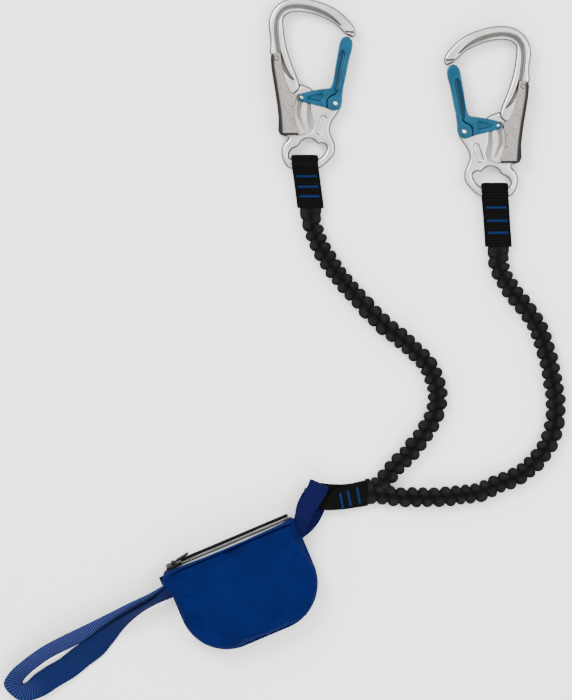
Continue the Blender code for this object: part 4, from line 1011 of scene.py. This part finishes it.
def make_yoke():
    """The black webbing that joins both arms, folded round the blue loop."""
    low, high, sewn_back, sewn_front = YOKE_LOW, YOKE_HIGH, YOKE_SEWN_BACK, YOKE_SEWN_FRONT
    mid, reach = (low + high) / 2, (high - low) / 2
    bulge = reach / PHOTO_SCALE
    rows = [
        (368.4, 493.4, sewn_front, 0.94, 88),
        (352, 496.0, sewn_front, 0.92, 101),
        (341, 498.6, sewn_front + 0.2 * reach, 0.84, 102),
        (331, 501.4, high - 0.15 * reach, 0.68, 104),
        (320, 501.6, high, 0.64, 108),
        (312, 497.6, high, 0.62, 113),
        (312 - 0.7 * bulge, 495.6, mid + 0.7 * reach, 0.50, 115),
        (312 - bulge, 494.2, mid, 0.46, 116),
        (312 - 0.7 * bulge, 494.2, mid - 0.7 * reach, 0.50, 115),
        (312, 495.0, low, 0.60, 110),
        (322, 495.6, low, 0.94, 100),
        (334, 496.6, low + 0.1 * reach, 0.94, 99),
        (350, 496.0, sewn_back, 0.92, 100),
        (368.4, 492.2, sewn_back, 0.94, 96),
    ]
    stations = stations_px(rows, BLACK_WIDTH)
    add_webbing("woven_yoke", stations, WEBBING_THICKNESS, YOKE_RIB, "black_webbing", "yoke_strap")
    for number in (1, 2, 3):
        lay_tack(f"yoke_tack_{number}", 0.8 * TACK_SPAN)


def pouch_matrix():
    """The pouch's own plan: its zip's corner at the origin, its zip along x."""
    turn = math.radians(POUCH_TURN_DEG)
    width = POUCH_WIDTH * Vector((math.cos(turn), math.sin(turn), 0))
    corner = floor_place(POUCH_ARMS_CORNER_PX) - width
    return Matrix.Translation(corner) @ Matrix.Rotation(turn, 4, "Z")


def tail(rows, drop, width, offset):
    """Stations of a webbing end that turns on edge inside the pouch, offset along its face.

    The rows are (share of the pouch's width, share of the exit's drop, rise).
    """
    found = []
    for u, v, rise in rows:
        rise_rad = math.radians(rise)
        shift = Vector((0, -math.sin(rise_rad), math.cos(rise_rad))) * offset
        place = Vector((POUCH_WIDTH * u, -drop * v + shift.y, POUCH_THICKNESS / 2 + shift.z))
        found.append((pouch_matrix() @ place, half_width(width, POUCH_TURN_DEG + 90, rise)))
    return found


def make_absorber_loop():
    """The blue loop that the yoke is linked to, its tails running into the pouch."""
    inside = [
        (0.62, 1.41, 90), (0.70, 1.41, 86), (0.80, 1.38, 62), (0.90, 1.28, 28), (0.955, 1.14, 8), (1, 1, 0),
    ]
    front, back = (
        tail(inside, ARMS_EXIT_DROP, BLUE_WIDTH * 0.92, sign * TAIL_GAP / 2) for sign in (1, -1)
    )
    low = (YOKE_LOW + YOKE_HIGH) / 2
    high = YOKE_HIGH + WEBBING_THICKNESS + 3 * LAYER_GAP
    mid, reach = (low + high) / 2, (high - low) / 2
    rows = [
        (302.5, 514.5, high + 0.0016, 0.95, 121),
        (309.5, 501.0, high + 0.0004, 0.88, 142),
        (316.5, 490.5, high, 0.86, 153),
        (318.4, 485.6, mid + 0.7 * reach, 0.86, 154.6),
        (319.4, 483.9, mid, 0.86, 154.6),
        (318.9, 485.6, mid - 0.7 * reach, 0.86, 154.6),
        (318.8, 490.8, low, 0.80, 151),
        (319.0, 499.5, low, 0.74, 147),
        (317.0, 508.8, low, 0.70, 134),
        (311.5, 517.0, low + 0.0008, 0.80, 124),
        (305.5, 522.5, low + 0.0030, 0.90, 116),
    ]
    stations = front + stations_px(rows, BLUE_WIDTH) + back[::-1]
    add_webbing(
        "woven_absorber_loop", stations, WEBBING_THICKNESS, BLUE_RIB, "blue_webbing", "absorber_loop"
    )


def make_harness_loop():
    """The long blue loop for the harness, on edge at the pouch and flat at its far end."""
    inside = [(0.50, 1, 90), (0.28, 1, 84), (0.10, 1, 68), (0, 1, 60)]
    top, low = (tail(inside, HARNESS_EXIT_DROP, BLUE_WIDTH, sign * TAIL_GAP / 2) for sign in (-1, 1))
    rows = [
        (152.5, 598.6, 0.0112, 1, 118, 58),
        (134, 608.0, 0.0104, 1, 119, 54),
        (114, 618.5, 0.0100, 1, 118, 52),
        (92, 629.5, 0.0098, 1, 117, 52),
        (67, 641.5, 0.0096, 1, 117, 52),
        (46, 652.5, 0.0092, 1, 122, 53),
        (28, 665.5, 0.0088, 1, 130, 53),
        (16.5, 676.5, 0.0080, 1, 146, 50),
        (14.0, 685.0, 0.0069, 1, 186, 39),
        (25.0, 690.5, 0.0051, 1, 250, 24),
        (38.0, 686.0, 0.0034, 1, 290, 12),
        (53.0, 676.5, 0.0022, 1, 305, 4),
        (67.5, 668.0, 0.0018, 1, 310, 0),
        (82.3, 656.2, 0.0022, 1, 310, -6),
        (96.5, 646.5, 0.0040, 0.97, 307, -22),
        (109.5, 634.5, 0.0066, 0.96, 304, -44),
        (122.5, 622.8, 0.0082, 0.97, 301, -64),
        (138.0, 611.5, 0.0094, 1, 299, -76),
        (155.0, 601.5, 0.0108, 1, 298, -76),
    ]
    stations = top + stations_px(rows, BLUE_WIDTH)
    stations += [(place, -half) for place, half in low[::-1]]
    mesh = add_webbing(
        "woven_harness_loop", stations, WEBBING_THICKNESS, BLUE_RIB, "harness_webbing", "harness_loop",
        slot="blue_webbing",
    ).data
    share = np.arange(len(mesh.vertices)) / len(mesh.vertices)
    paint(mesh, "shade", (share - LOWER_STRAND_SHARE) / LOWER_STRAND_FADE)


# Elastic arms, along the same routes as their CAD solids
LEFT_ARM_ROUTE_PX = [
    (310.9, 206.2), (310.6, 213), (311.6, 222), (314.7, 232.9), (318.4, 242.9), (323.3, 252.7),
    (329, 261.6), (335.4, 271), (341.7, 278.8), (348.3, 287.4), (355.8, 295.5), (363.5, 303.5),
    (369.8, 311.3), (377.6, 318.7), (385.9, 326.5), (394.5, 333.3), (403.4, 340.2), (414.7, 351),
    (427.1, 363.8), (432, 373.4), (435.8, 383.6), (437.4, 394.4), (436.2, 410), (432, 420.2),
    (426.9, 428.8), (421.2, 438), (414.8, 446), (407.8, 454.6), (400.0, 462.0), (393.2, 469.6),
    (387, 477), (380.8, 483.4), (374.4, 487.9), (366.6, 489.4),
]
RIGHT_ARM_ROUTE_PX = [
    (498.4, 245.0), (498.4, 254), (498.8, 264), (502.1, 274.2), (507.3, 283.6), (513.6, 293),
    (520.6, 302.1), (527.6, 310.9), (533.3, 319.4), (538.5, 329), (543, 340), (546, 350.6),
    (549, 361.5), (551.2, 372.1), (553.3, 383), (555.2, 394), (555.9, 406), (556, 412),
    (555, 423.5), (552, 434), (548, 444), (542.6, 452.8), (535.6, 461.5), (528.3, 468.4),
    (520, 474.8), (510, 479.5), (497, 484.5), (480, 492), (460, 495), (440, 497), (420, 497.5),
    (400, 497), (384, 494.9), (367.2, 493.4),
]
ARM_STEP = 0.0005
ARM_SIDES = 36
ARM_END_MARGIN = 0.002
LOBE_SHIFT = 0.0016
LOBE_LEAN = 0.0009
LOBE_DRIFT = 0.22
LOBE_PUFF = 0.07
SEAM_DIP, SEAM_SPREAD = 0.42, 0.22


def rise(t):
    t = min(max(t, 0), 1)
    return t * t * (3 - 2 * t)


def arm_mesh(name, route_px, end_height, seed):
    """Paired puffy lobes along the arm, gathered flat at its sewn ends, and its centre points."""
    rest = ARM_THICKNESS / 2 + SEAT_GAP
    along, line = resample(smooth([floor_place(p) for p in route_px], 8), ARM_STEP)
    total = along[-1]
    rings, centres, painted_crest_lights = [], [], []
    drift = 0.0
    for i, at in enumerate(along):
        way = Vector(line[min(i + 1, len(line) - 1)] - line[max(i - 1, 0)]).normalized()
        across = Vector((-way.y, way.x, 0))
        start = rise((at - 0.3 * ARM_FLAT_LENGTH) / ARM_FLAT_LENGTH)
        end = rise((total - at + ARM_END_MARGIN) / ARM_FLAT_LENGTH)
        full = min(start, end)
        flat_height = rest if start < 1 else end_height
        height = flat_height * (1 - full) + rest * full
        centre = Vector((line[i][0], line[i][1], height))
        drift += ARM_STEP * LOBE_DRIFT * wobble(at * 90, seed)
        ring = []
        for n in range(ARM_SIDES):
            angle = 2 * math.pi * n / ARM_SIDES
            x, z = math.cos(angle), math.sin(angle)
            side = math.tanh(9 * x)
            phase = (at + drift + LOBE_SHIFT * side + LOBE_LEAN * z) / ARM_RIB_PITCH
            part = 2 * (phase % 1) - 1
            lobe = math.sqrt(max(1 - part * part, 0)) ** 0.9
            number = math.floor(phase) + (50 if x > 0 else 0)
            puff = 1 + LOBE_PUFF * wobble(number * 1.7, seed + 3)
            valley = settings().lobe_valley + 0.06 * abs(z)
            ribbed = (valley + (1 - valley) * lobe) * puff
            dip = 1 - SEAM_DIP * math.exp(-((x / SEAM_SPREAD) ** 2))
            wide = ARM_WIDTH / 2 * (full * ribbed + (1 - full) * (1 + 0.05 * lobe))
            thick = full * ARM_THICKNESS / 2 * (0.45 + 0.55 * ribbed) * dip
            thick += (1 - full) * ARM_FLAT_THICKNESS / 2 * (1 + 0.25 * lobe)
            place = centre + across * wide * swell(x, 0.85) + Vector((0, 0, thick * z))
            place.z = max(place.z, 0.0)
            ring.append(place)
            # Painted light for the weave: most on a lobe's crest, less in the valleys and at the seam's dip
            painted_crest_lights.append((full * lobe + (1 - full) * (0.5 + 0.4 * lobe)) * dip**2)
        rings.append(ring)
        centres.append(centre)
    spread = [ARM_WIDTH * 1.3 * k / (ARM_SIDES / 2) for k in range(ARM_SIDES + 1)]
    mesh = loft(rings, (spread, list(along)), name)
    paint(mesh, "painted_crest_light", np.array(painted_crest_lights))
    return mesh, centres


def make_arms():
    rows = (
        ("left", LEFT_ARM_ROUTE_PX, YOKE_SEWN_BACK, 11),
        ("right", RIGHT_ARM_ROUTE_PX, YOKE_SEWN_FRONT, 17),
    )
    for side, route, end_height, seed in rows:
        name = f"ribbed_arm_{side}"
        mesh, centres = arm_mesh(name, route, end_height, seed)
        piece = add_piece(name, mesh, "arm_weave", f"arm_{side}", slot="black_webbing")


# Pouch
POUCH_CORNER = 0.035
POUCH_SAG = 0.0022
POUCH_TOP_CORNER = 0.004
POUCH_RIM_INSET = 0.011
POUCH_SEAM = 0.0008
POUCH_BULGE = 0.003
POUCH_LOWEST = 0.0003
PIPING_BELOW = 0.006
ZIP_TILT_DEG = 18.0
ZIP_DEPTH = 0.003
ZIP_HEIGHT = 0.012
TAPE_THICKNESS = 0.0008
TAPE_WAVE = 0.00025
TEETH_PITCH = 0.0016
TOOTH_HALF = 0.0004
TOOTH_RIM = 0.00018
TEETH_CORD_RADIUS = 0.0005
STOP_RIM = 0.0005
CASTING_RIMS = {"slider": 0.0002, "puller": 0.00016}
TAB_GAP = 0.0008
TAB_THICKNESS = 0.0009
TAB_RIB = 0.0009
FILLING_LUMPS = 0.00075
FILLING_GRAIN = 0.00022
PUCKER_PITCH = 0.0065
PUCKER_DEPTH = 0.00035
PUCKER_FADE = 0.006
GATHER_BULGE = 0.0042
GATHER_LENGTH = 0.007
GATHER_DROP = 0.0125
GATHER_HALF = 0.0065
PIPING_RADIUS = 0.0011
PIPING_SHARE = 0.988
LIP_GAP = 0.0004
LIP_OVERLAPS = {"front": 0.0024, "back": 0.0008}
# The back lip wears the black webbing look: a dark strip of painted shadow along the zip's top line
LIP_LOOKS_BACK_SHADOWED = {"front": "pouch_fabric", "back": "black_webbing"}
LIP_SAG = 0.0040
LIP_THICKNESS = 0.0009
LIP_RIB = 0.0011
CLOTH_VOXEL = 0.0028
CLOTH_STEPS = 14
CLOTH_CAP = 0.004
CLOTH_PINNED = 0.0025
CLOTH_PRESSURE = 3.0
CLOTH_STRETCH = 0.03


def arc(centre, radius, start_deg, end_deg, steps):
    return [
        Vector((centre[0] + radius * math.cos(a), centre[1] + radius * math.sin(a)))
        for a in (math.radians(start_deg + (end_deg - start_deg) * k / steps) for k in range(steps + 1))
    ]


def pouch_outline(fine):
    """The pouch's plan, clockwise from its zip: a straight top and round lower corners."""
    low, big, small = POUCH_SAG - POUCH_HEIGHT, POUCH_CORNER, POUCH_TOP_CORNER
    points = arc((POUCH_WIDTH - small, -small), small, 90, 0, fine // 2)
    points += arc((POUCH_WIDTH - big, low + big), big, 0, -90, 2 * fine)
    points += arc((big, low + big), big, -90, -180, 2 * fine)
    points += arc((small, -small), small, 180, 90, fine // 2)
    return points


def zip_matrix():
    place = Matrix.Translation((0, -ZIP_DEPTH, ZIP_HEIGHT))
    return pouch_matrix() @ place @ Matrix.Rotation(math.radians(ZIP_TILT_DEG), 4, "X")


def pouch_form():
    """The stuffed pouch as one closed skin in its own plan, full in the middle, thin at its seam."""
    outline = [Vector(p) for p in resample([(*p, 0) for p in pouch_outline(10)], OUTLINE_STEP)[1]]
    centre = Vector((POUCH_WIDTH / 2, -POUCH_HEIGHT / 2, 0))
    half = POUCH_THICKNESS / 2 - POUCH_SEAM
    rings = []
    for angle in (math.radians(a) for a in range(-90, 91, 9)):
        inset = 1 - (abs(math.cos(angle)) ** 0.42)
        height = POUCH_THICKNESS / 2 + half * math.copysign(abs(math.sin(angle)) ** 0.85, angle)
        scale_x = 1 - inset * POUCH_RIM_INSET * 1.5 / (POUCH_WIDTH / 2)
        scale_y = 1 - inset * POUCH_RIM_INSET * 1.5 / (POUCH_HEIGHT / 2)
        away = [p - centre for p in outline]
        rings.append([(centre.x + p.x * scale_x, centre.y + p.y * scale_y, height) for p in away])
    return loft(rings, name="pouch_form")


def inflate(mesh):
    """Cloth under a little pressure fills the pouch out, held in a few millimetres."""
    holder = new_object("cloth", mesh)
    before = points_of(mesh)
    rim = np.abs(before[:, 2] - POUCH_THICKNESS / 2) < CLOTH_PINNED
    pins = holder.vertex_groups.new(name="rim")
    pins.add([int(i) for i in np.nonzero(rim)[0]], 1.0, "REPLACE")
    cloth = modify(holder, "CLOTH")
    with_values(
        cloth.settings, use_pressure=True, uniform_pressure_force=CLOTH_PRESSURE,
        shrink_min=-CLOTH_STRETCH, vertex_group_mass="rim", quality=6,
    )
    cloth.settings.effector_weights.gravity = 0
    with_values(cloth.point_cache, frame_start=1, frame_end=CLOTH_STEPS)
    scene = bpy.context.scene
    for frame_number in range(1, CLOTH_STEPS + 1):
        scene.frame_set(frame_number)
    graph = bpy.context.evaluated_depsgraph_get()
    after = points_of(holder.evaluated_get(graph).to_mesh())
    move = after - before
    far = np.linalg.norm(move, axis=1)
    move *= (np.minimum(far, CLOTH_CAP) / np.maximum(far, 1e-9))[:, None]
    bpy.data.objects.remove(holder)
    scene.frame_set(1)
    set_points(mesh, before + move)
    return mesh


# The start, end, depth and width of each fold, in the pouch's plan
FOLDS = [
    ((0.004, -0.024), (0.030, -0.040), 0.0014, 0.0030),
    ((0.003, -0.016), (0.034, -0.021), 0.0011, 0.0028),
    ((0.102, -0.016), (0.076, -0.030), 0.0014, 0.0032),
    ((0.103, -0.026), (0.080, -0.046), 0.0010, 0.0035),
    ((0.030, -0.006), (0.052, -0.012), 0.0008, 0.0030),
    ((0.060, -0.007), (0.090, -0.010), 0.0008, 0.0030),
    ((0.020, -0.062), (0.044, -0.069), 0.0008, 0.0032),
    ((0.064, -0.069), (0.086, -0.060), 0.0008, 0.0032),
]


def crease(at):
    """How far the fabric is pulled in at these places of the pouch's plan."""
    depth = np.zeros(len(at))
    for start, end, deep, wide in FOLDS:
        t, far = next(spans(at, (start, end)))
        depth += deep * (1 - t) ** 0.7 * np.exp(-((far / wide) ** 2))
        depth -= 0.35 * deep * (1 - t) ** 0.7 * np.exp(-(((far - 1.8 * wide) / wide) ** 2))
    return depth


def wrinkle(mesh):
    """Folds run in from the ends and the seam, over a faint unevenness of the filling."""
    at, normals = points_of(mesh), points_of(mesh, "normal")
    slow = np.array([noise.noise(Vector(p) * 42 + Vector((3, 1, 7))) for p in at])
    fine = np.array([noise.noise(Vector((p[0] * 160, p[1] * 90, p[2] * 160))) for p in at])
    faces = np.abs(normals[:, 2])
    below = 0.5 * POUCH_THICKNESS - np.abs(at[:, 2] - POUCH_THICKNESS / 2)
    middle = np.clip(below / PUCKER_FADE, 0, 1)
    pucker = np.sin(at[:, 0] * 2 * math.pi / PUCKER_PITCH + 2.5 * slow)
    pucker = pucker * middle * (1 - faces) * PUCKER_DEPTH
    moved = FILLING_LUMPS * slow + FILLING_GRAIN * fine + pucker - crease(at) * faces
    at += normals * (settings().fold_share * moved)[:, None]
    along, across = np.maximum(at[:, 0], 0) / GATHER_LENGTH, (at[:, 1] + GATHER_DROP) / GATHER_HALF
    gather = np.exp(-(across**2) - along**2)
    at[:, 0] -= GATHER_BULGE * gather
    at[:, 2] = np.clip(at[:, 2], POUCH_LOWEST, POUCH_THICKNESS + POUCH_BULGE)
    set_points(mesh, at)
    return mesh


def make_pouch():
    """The padded pouch, filled out by cloth simulation, with piping along its seam."""
    mesh = carve(pouch_form(), [], CLOTH_VOXEL, 3)
    mesh = inflate(mesh)
    holder = new_object("finer", mesh)
    modify(holder, "SUBSURF", levels=2)
    mesh = wrinkle(evaluated(holder))
    trim = box_mesh("trim", (0.2, 0.04, 0.08), (POUCH_WIDTH / 2, 0.02, 0))
    trim.transform(pouch_matrix().inverted() @ zip_matrix())
    mesh = carve(mesh, [("DIFFERENCE", trim)])
    piece = add_piece(
        "padded_pouch", mesh, "pouch_fabric", "pouch_front", "pouch_back", matrix=pouch_matrix()
    )
    line = resample([(*p, POUCH_THICKNESS / 2) for p in pouch_outline(10)], OUTLINE_STEP)[1]
    middle = Vector((POUCH_WIDTH / 2, -POUCH_HEIGHT / 2, POUCH_THICKNESS / 2))
    bound = [middle.lerp(Vector(p), PIPING_SHARE) for p in line if p[1] < -PIPING_BELOW]
    add_piece("pouch_piping", tube(bound, PIPING_RADIUS, 10), "pouch_fabric", matrix=pouch_matrix())


def make_tab():
    """The little ribbed webbing tab at the zip's end, folded in two."""
    (u0, v0, _), (u1, v1, _) = local_box("side_tab", pouch_matrix())
    middle, half = (v0 + v1) / 2, Vector((0, (v1 - v0) / 2, 0))
    fold = [(u1 + 0.003, 1), (u0 + 0.0014, 1), (u0 + 0.0003, 0.6), (u0, 0)]
    fold += [(u, -share) for u, share in fold[2::-1]]
    stations = [(Vector((u, middle, POUCH_THICKNESS / 2 + share * TAB_GAP)), half) for u, share in fold]
    add_webbing(
        "woven_side_tab", stations, TAB_THICKNESS, TAB_RIB, "blue_webbing", "side_tab",
        slot="pouch_fabric", matrix=pouch_matrix(),
    )


def block(low, high, rim):
    """A box with its rims rounded."""
    shape = bmesh.new()
    bmesh.ops.create_cube(shape, size=1)
    for vert in shape.verts:
        vert.co = [a + (b - a) * (c + 0.5) for a, b, c in zip(low, high, vert.co)]
    bmesh.ops.bevel(shape, geom=shape.edges[:], offset=rim, segments=3, affect="EDGES", profile=0.5)
    return to_mesh(shape, "block")


def local_box(node, matrix):
    at = points_of(NODES[node].data)
    inverse = matrix.inverted()
    found = np.array([inverse @ Vector(p) for p in at])
    return found.min(axis=0), found.max(axis=0)


def make_zip():
    """Ribbed tapes, interlocking teeth and the end box."""
    matrix = zip_matrix()
    grey = {"slot": "zip_grey", "matrix": matrix}
    for side, sign, seed in (("front", 1, 21), ("back", -1, 22)):
        tape, teeth = f"zip_tape_{side}", f"zip_teeth_{side}"
        low, high = local_box(tape, matrix)
        middle, half = (low + high) / 2, Vector((0, 0, (high[2] - low[2]) / 2))
        stations = []
        for k in range(25):
            x = low[0] + (high[0] - low[0]) * k / 24
            wave = TAPE_WAVE * wobble(x * 90, seed)
            stations.append((Vector((x, middle[1] + wave, middle[2])), half))
        add_webbing(f"woven_{tape}", stations, TAPE_THICKNESS, TAPE_RIB, "zip_tape", tape, **grey)
        mesh = teeth_mesh(*local_box(teeth, matrix), sign)
        add_piece(f"moulded_teeth_{side}", mesh, "zip_teeth", teeth, **grey)
    make_lips(matrix)
    stop = block(*local_box("zip_box", matrix), STOP_RIM)
    add_piece("moulded_zip_box", stop, "zip_black", "zip_box", matrix=matrix)


def make_lips(matrix):
    """Fabric edges folded over both tapes, up to the slider's way and closing at the ends."""
    inner_low, inner_high = (box[2] for box in local_box("zip_slider", matrix))
    for side, sign in (("front", 1), ("back", -1)):
        low, high = local_box(f"zip_tape_{side}", matrix)
        if low[2] + high[2] > inner_low + inner_high:
            inner, outer = inner_high + LIP_GAP, high[2] + LIP_OVERLAPS[side]
        else:
            inner, outer = inner_low - LIP_GAP, low[2] - LIP_OVERLAPS[side]
        stations = []
        for k in range(33):
            share = k / 32
            x = low[0] + (high[0] - low[0]) * share
            near = inner + TAPE_WAVE * wobble(x * 120, 31 + sign)
            if side == "front":
                near += math.copysign(LIP_SAG * math.sin(math.pi * share), outer - inner)
            half = Vector((0, 0, abs(outer - near) / 2))
            stations.append((Vector((x, high[1] + LIP_GAP, (outer + near) / 2)), half))
        # The back lip's black look is painted shadow
        look = LIP_LOOKS_BACK_SHADOWED[side]
        add_webbing(f"fabric_lip_{side}", stations, LIP_THICKNESS, LIP_RIB, look, matrix=matrix)


def teeth_mesh(low, high, sign):
    """One row of moulded teeth on their cord."""
    inner, outer = (low[2], high[2]) if sign > 0 else (high[2], low[2])
    level, tall = (low[1] + high[1]) / 2, (high[1] - low[1]) / 2
    cord_z = outer - sign * TEETH_CORD_RADIUS
    cord = [(x, level, cord_z) for x in (low[0], (low[0] + high[0]) / 2, high[0])]
    meshes = [tube(cord, TEETH_CORD_RADIUS)]
    for k in range(int((high[0] - low[0]) / TEETH_PITCH)):
        x = low[0] + TEETH_PITCH * (k + (0.25 if sign > 0 else 0.75))
        box_low = (x - TOOTH_HALF, level - tall, min(inner, outer))
        box_high = (x + TOOTH_HALF, level + tall, max(inner, outer))
        if box_high[0] < high[0]:
            meshes.append(block(box_low, box_high, TOOTH_RIM))
    return merge(meshes, "teeth")


def make_slider():
    """The zip's slider and its puller, softened metal on the CAD's own shapes."""
    for body, rim in CASTING_RIMS.items():
        node = f"zip_{body}"
        matrix = NODES[node].matrix_world.copy()
        shape = welded(NODES[node].data)
        bmesh.ops.dissolve_limit(shape, angle_limit=0.02, verts=shape.verts, edges=shape.edges)
        sharp = [e for e in shape.edges if e.is_manifold and e.calc_face_angle(0) > 0.6]
        bmesh.ops.bevel(shape, geom=sharp, offset=rim, segments=2, affect="EDGES", clamp_overlap=True)
        add_piece(f"cast_{node}", to_mesh(shape, node), "zip_black", node, body=body, matrix=matrix)


# Stage
FLOOR_HALF = 6.0
FLOOR_HEIGHT = -0.0004
# The room's glow rises from the third number to the fourth between the first two heights
ROOM_RAMP = (0.10, 0.62, 0.16, 2.0)
# Place, width, length and watts
LAMPS = {
    "key": ((-0.7, 0.8, 1.3), 0.7, 0.7, 30),
    "fill": ((0.9, 0.2, 1.2), 0.9, 0.9, 14),
    "low": ((0.1, -1.0, 0.8), 0.8, 0.4, 8),
}


def make_camera():
    """Straight above, through a long lens, so that the plan keeps one scale."""
    scene = bpy.context.scene
    data = bpy.data.cameras.new("camera")
    camera = new_object("camera", data)
    aim = floor_place(PHOTO_MIDDLE_PX)
    camera.location = (aim.x, aim.y, CAMERA_HEIGHT)
    data.sensor_fit = "VERTICAL"
    data.sensor_height = 36
    data.lens = data.sensor_height * (CAMERA_HEIGHT - SHARP_HEIGHT) / (PHOTO_HEIGHT_PX * PHOTO_SCALE)
    scene.camera = camera


def make_stage():
    """A pale floor, a bright even room and soft lamps that look at the floor's middle."""
    mesh = bpy.data.meshes.new("floor")
    signs = ((-1, -1), (1, -1), (1, 1), (-1, 1))
    corners = [(x * FLOOR_HALF, y * FLOOR_HALF, FLOOR_HEIGHT) for x, y in signs]
    mesh.from_pydata(corners, [], [(0, 1, 2, 3)])
    look = Look("floor", roughness=0.9)
    mesh.materials.append(look.set(look.mix(look.noise(1.5, 2), (0.93,) * 3, (0.95,) * 3)))
    new_object("floor", mesh)
    world = bpy.data.worlds.new("room")
    room = Nodes(world)
    height = room.node("SeparateXYZ", {0: room.node("TexCoord", output="Generated")}, 2)
    inputs = {0: height, **dict(enumerate(ROOM_RAMP, 1))}
    background = room.tree.nodes["Background"]
    room.feed(background.inputs[0], (1, 1, 1, 1))
    room.feed(background.inputs[1], room.node("MapRange", inputs, interpolation_type="SMOOTHSTEP"))
    bpy.context.scene.world = world
    for name, (place, width, length, watts) in LAMPS.items():
        data = bpy.data.lights.new(name, "AREA")
        power = watts * settings().lamp_share
        with_values(data, shape="RECTANGLE", size=width, size_y=length, energy=power)
        turn = (-Vector(place)).to_track_quat("-Z", "Y").to_euler()
        with_values(new_object(name, data), location=place, rotation_euler=turn)


# Add-on
def factor(name, description, default, low, high):
    return bpy.props.FloatProperty(
        name=name, description=description, default=default, min=low, max=high, subtype="FACTOR"
    )


def colour(name, description, default):
    return bpy.props.FloatVectorProperty(
        name=name, description=description, default=default, min=0, max=1, subtype="COLOR"
    )


class LANYARD_PG_settings(bpy.types.PropertyGroup):
    """What the panel can change before the pieces are built."""

    lamp_share: factor("Lamps", "Power of the soft lamps, against their usual one", 1.0, 0.1, 4.0)
    fold_share: factor("Pouch Folds", "Depth of the folds, against their usual one", 1.0, 0.0, 2.0)
    lobe_valley: factor("Lobe Valley", "Width between two lobes, against a lobe's own", 0.40, 0.2, 0.9)
    tack_turns: bpy.props.IntProperty(
        name="Tack Stitches", description="Zigzag stitches in each bar tack", default=8, min=3, max=30,
    )
    tack_width: bpy.props.FloatProperty(
        name="Tack Width", description="Width of each bar tack", default=0.0022, unit="LENGTH",
    )
    gate_blue: colour("Gate Blue", "Colour of the anodised gates", (0.0050, 0.060, 0.112))
    pouch_blue: colour("Pouch Blue", "Colour of the pouch's fabric", (0.0001, 0.0040, 0.050))
    thread_blue: colour("Thread Blue", "Colour of the stitching", (0.006, 0.032, 0.13))


class LANYARD_OT_camera(bpy.types.Operator):
    """Adds the camera at the photograph's angle"""

    bl_idname = "lanyard.camera"
    bl_label = "Camera"

    def execute(self, context):
        make_camera()
        return {"FINISHED"}


class LANYARD_OT_arms(bpy.types.Operator):
    """Builds the two ribbed elastic arms"""

    bl_idname = "lanyard.arms"
    bl_label = "Elastic Arms"

    def execute(self, context):
        make_arms()
        return {"FINISHED"}


class LANYARD_OT_carabiners(bpy.types.Operator):
    """Builds the forged frames, gates, palm levers and pins"""

    bl_idname = "lanyard.carabiners"
    bl_label = "Carabiners"

    def execute(self, context):
        make_forgings()
        make_pins()
        return {"FINISHED"}


class LANYARD_OT_webbing(bpy.types.Operator):
    """Builds the straps, yoke and loops with their stitching"""

    bl_idname = "lanyard.webbing"
    bl_label = "Webbing"

    def execute(self, context):
        make_straps()
        make_yoke()
        make_absorber_loop()
        make_harness_loop()
        return {"FINISHED"}


class LANYARD_OT_pouch(bpy.types.Operator):
    """Builds the padded pouch, its tab and what lies in it"""

    bl_idname = "lanyard.pouch"
    bl_label = "Pouch"

    def execute(self, context):
        make_pouch()
        make_tab()
        dress("absorber_pack", "blue_webbing")
        dress("absorber_band", "black_webbing")
        return {"FINISHED"}


class LANYARD_OT_zip(bpy.types.Operator):
    """Builds the zip, its slider and its puller"""

    bl_idname = "lanyard.zip"
    bl_label = "Zip"

    def execute(self, context):
        make_zip()
        make_slider()
        return {"FINISHED"}


class LANYARD_OT_stage(bpy.types.Operator):
    """Adds the pale floor and the soft light"""

    bl_idname = "lanyard.stage"
    bl_label = "Stage"

    def execute(self, context):
        make_stage()
        return {"FINISHED"}


STEPS = (
    LANYARD_OT_camera, LANYARD_OT_arms, LANYARD_OT_carabiners, LANYARD_OT_webbing,
    LANYARD_OT_pouch, LANYARD_OT_zip, LANYARD_OT_stage,
)


class LANYARD_PT_panel(bpy.types.Panel):
    """The steps that build the lanyard's looks"""

    bl_label = "Lanyard"
    bl_idname = "LANYARD_PT_panel"
    bl_space_type = "VIEW_3D"
    bl_region_type = "UI"
    bl_category = "Lanyard"

    def draw(self, context):
        for name in LANYARD_PG_settings.__annotations__:
            self.layout.prop(context.scene.lanyard, name)
        for step in STEPS:
            self.layout.operator(step.bl_idname)


CLASSES = (LANYARD_PG_settings, *STEPS, LANYARD_PT_panel)


def register():
    for made in CLASSES:
        bpy.utils.register_class(made)
    bpy.types.Scene.lanyard = bpy.props.PointerProperty(type=LANYARD_PG_settings)


def unregister():
    del bpy.types.Scene.lanyard
    for made in reversed(CLASSES):
        bpy.utils.unregister_class(made)


def main():
    register()
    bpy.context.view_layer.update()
    LOOKS.update(make_looks())
    for step in STEPS:
        name = step.bl_idname.split(".")[1]
        getattr(bpy.ops.lanyard, name)()


if __name__ == "__main__":
    main()
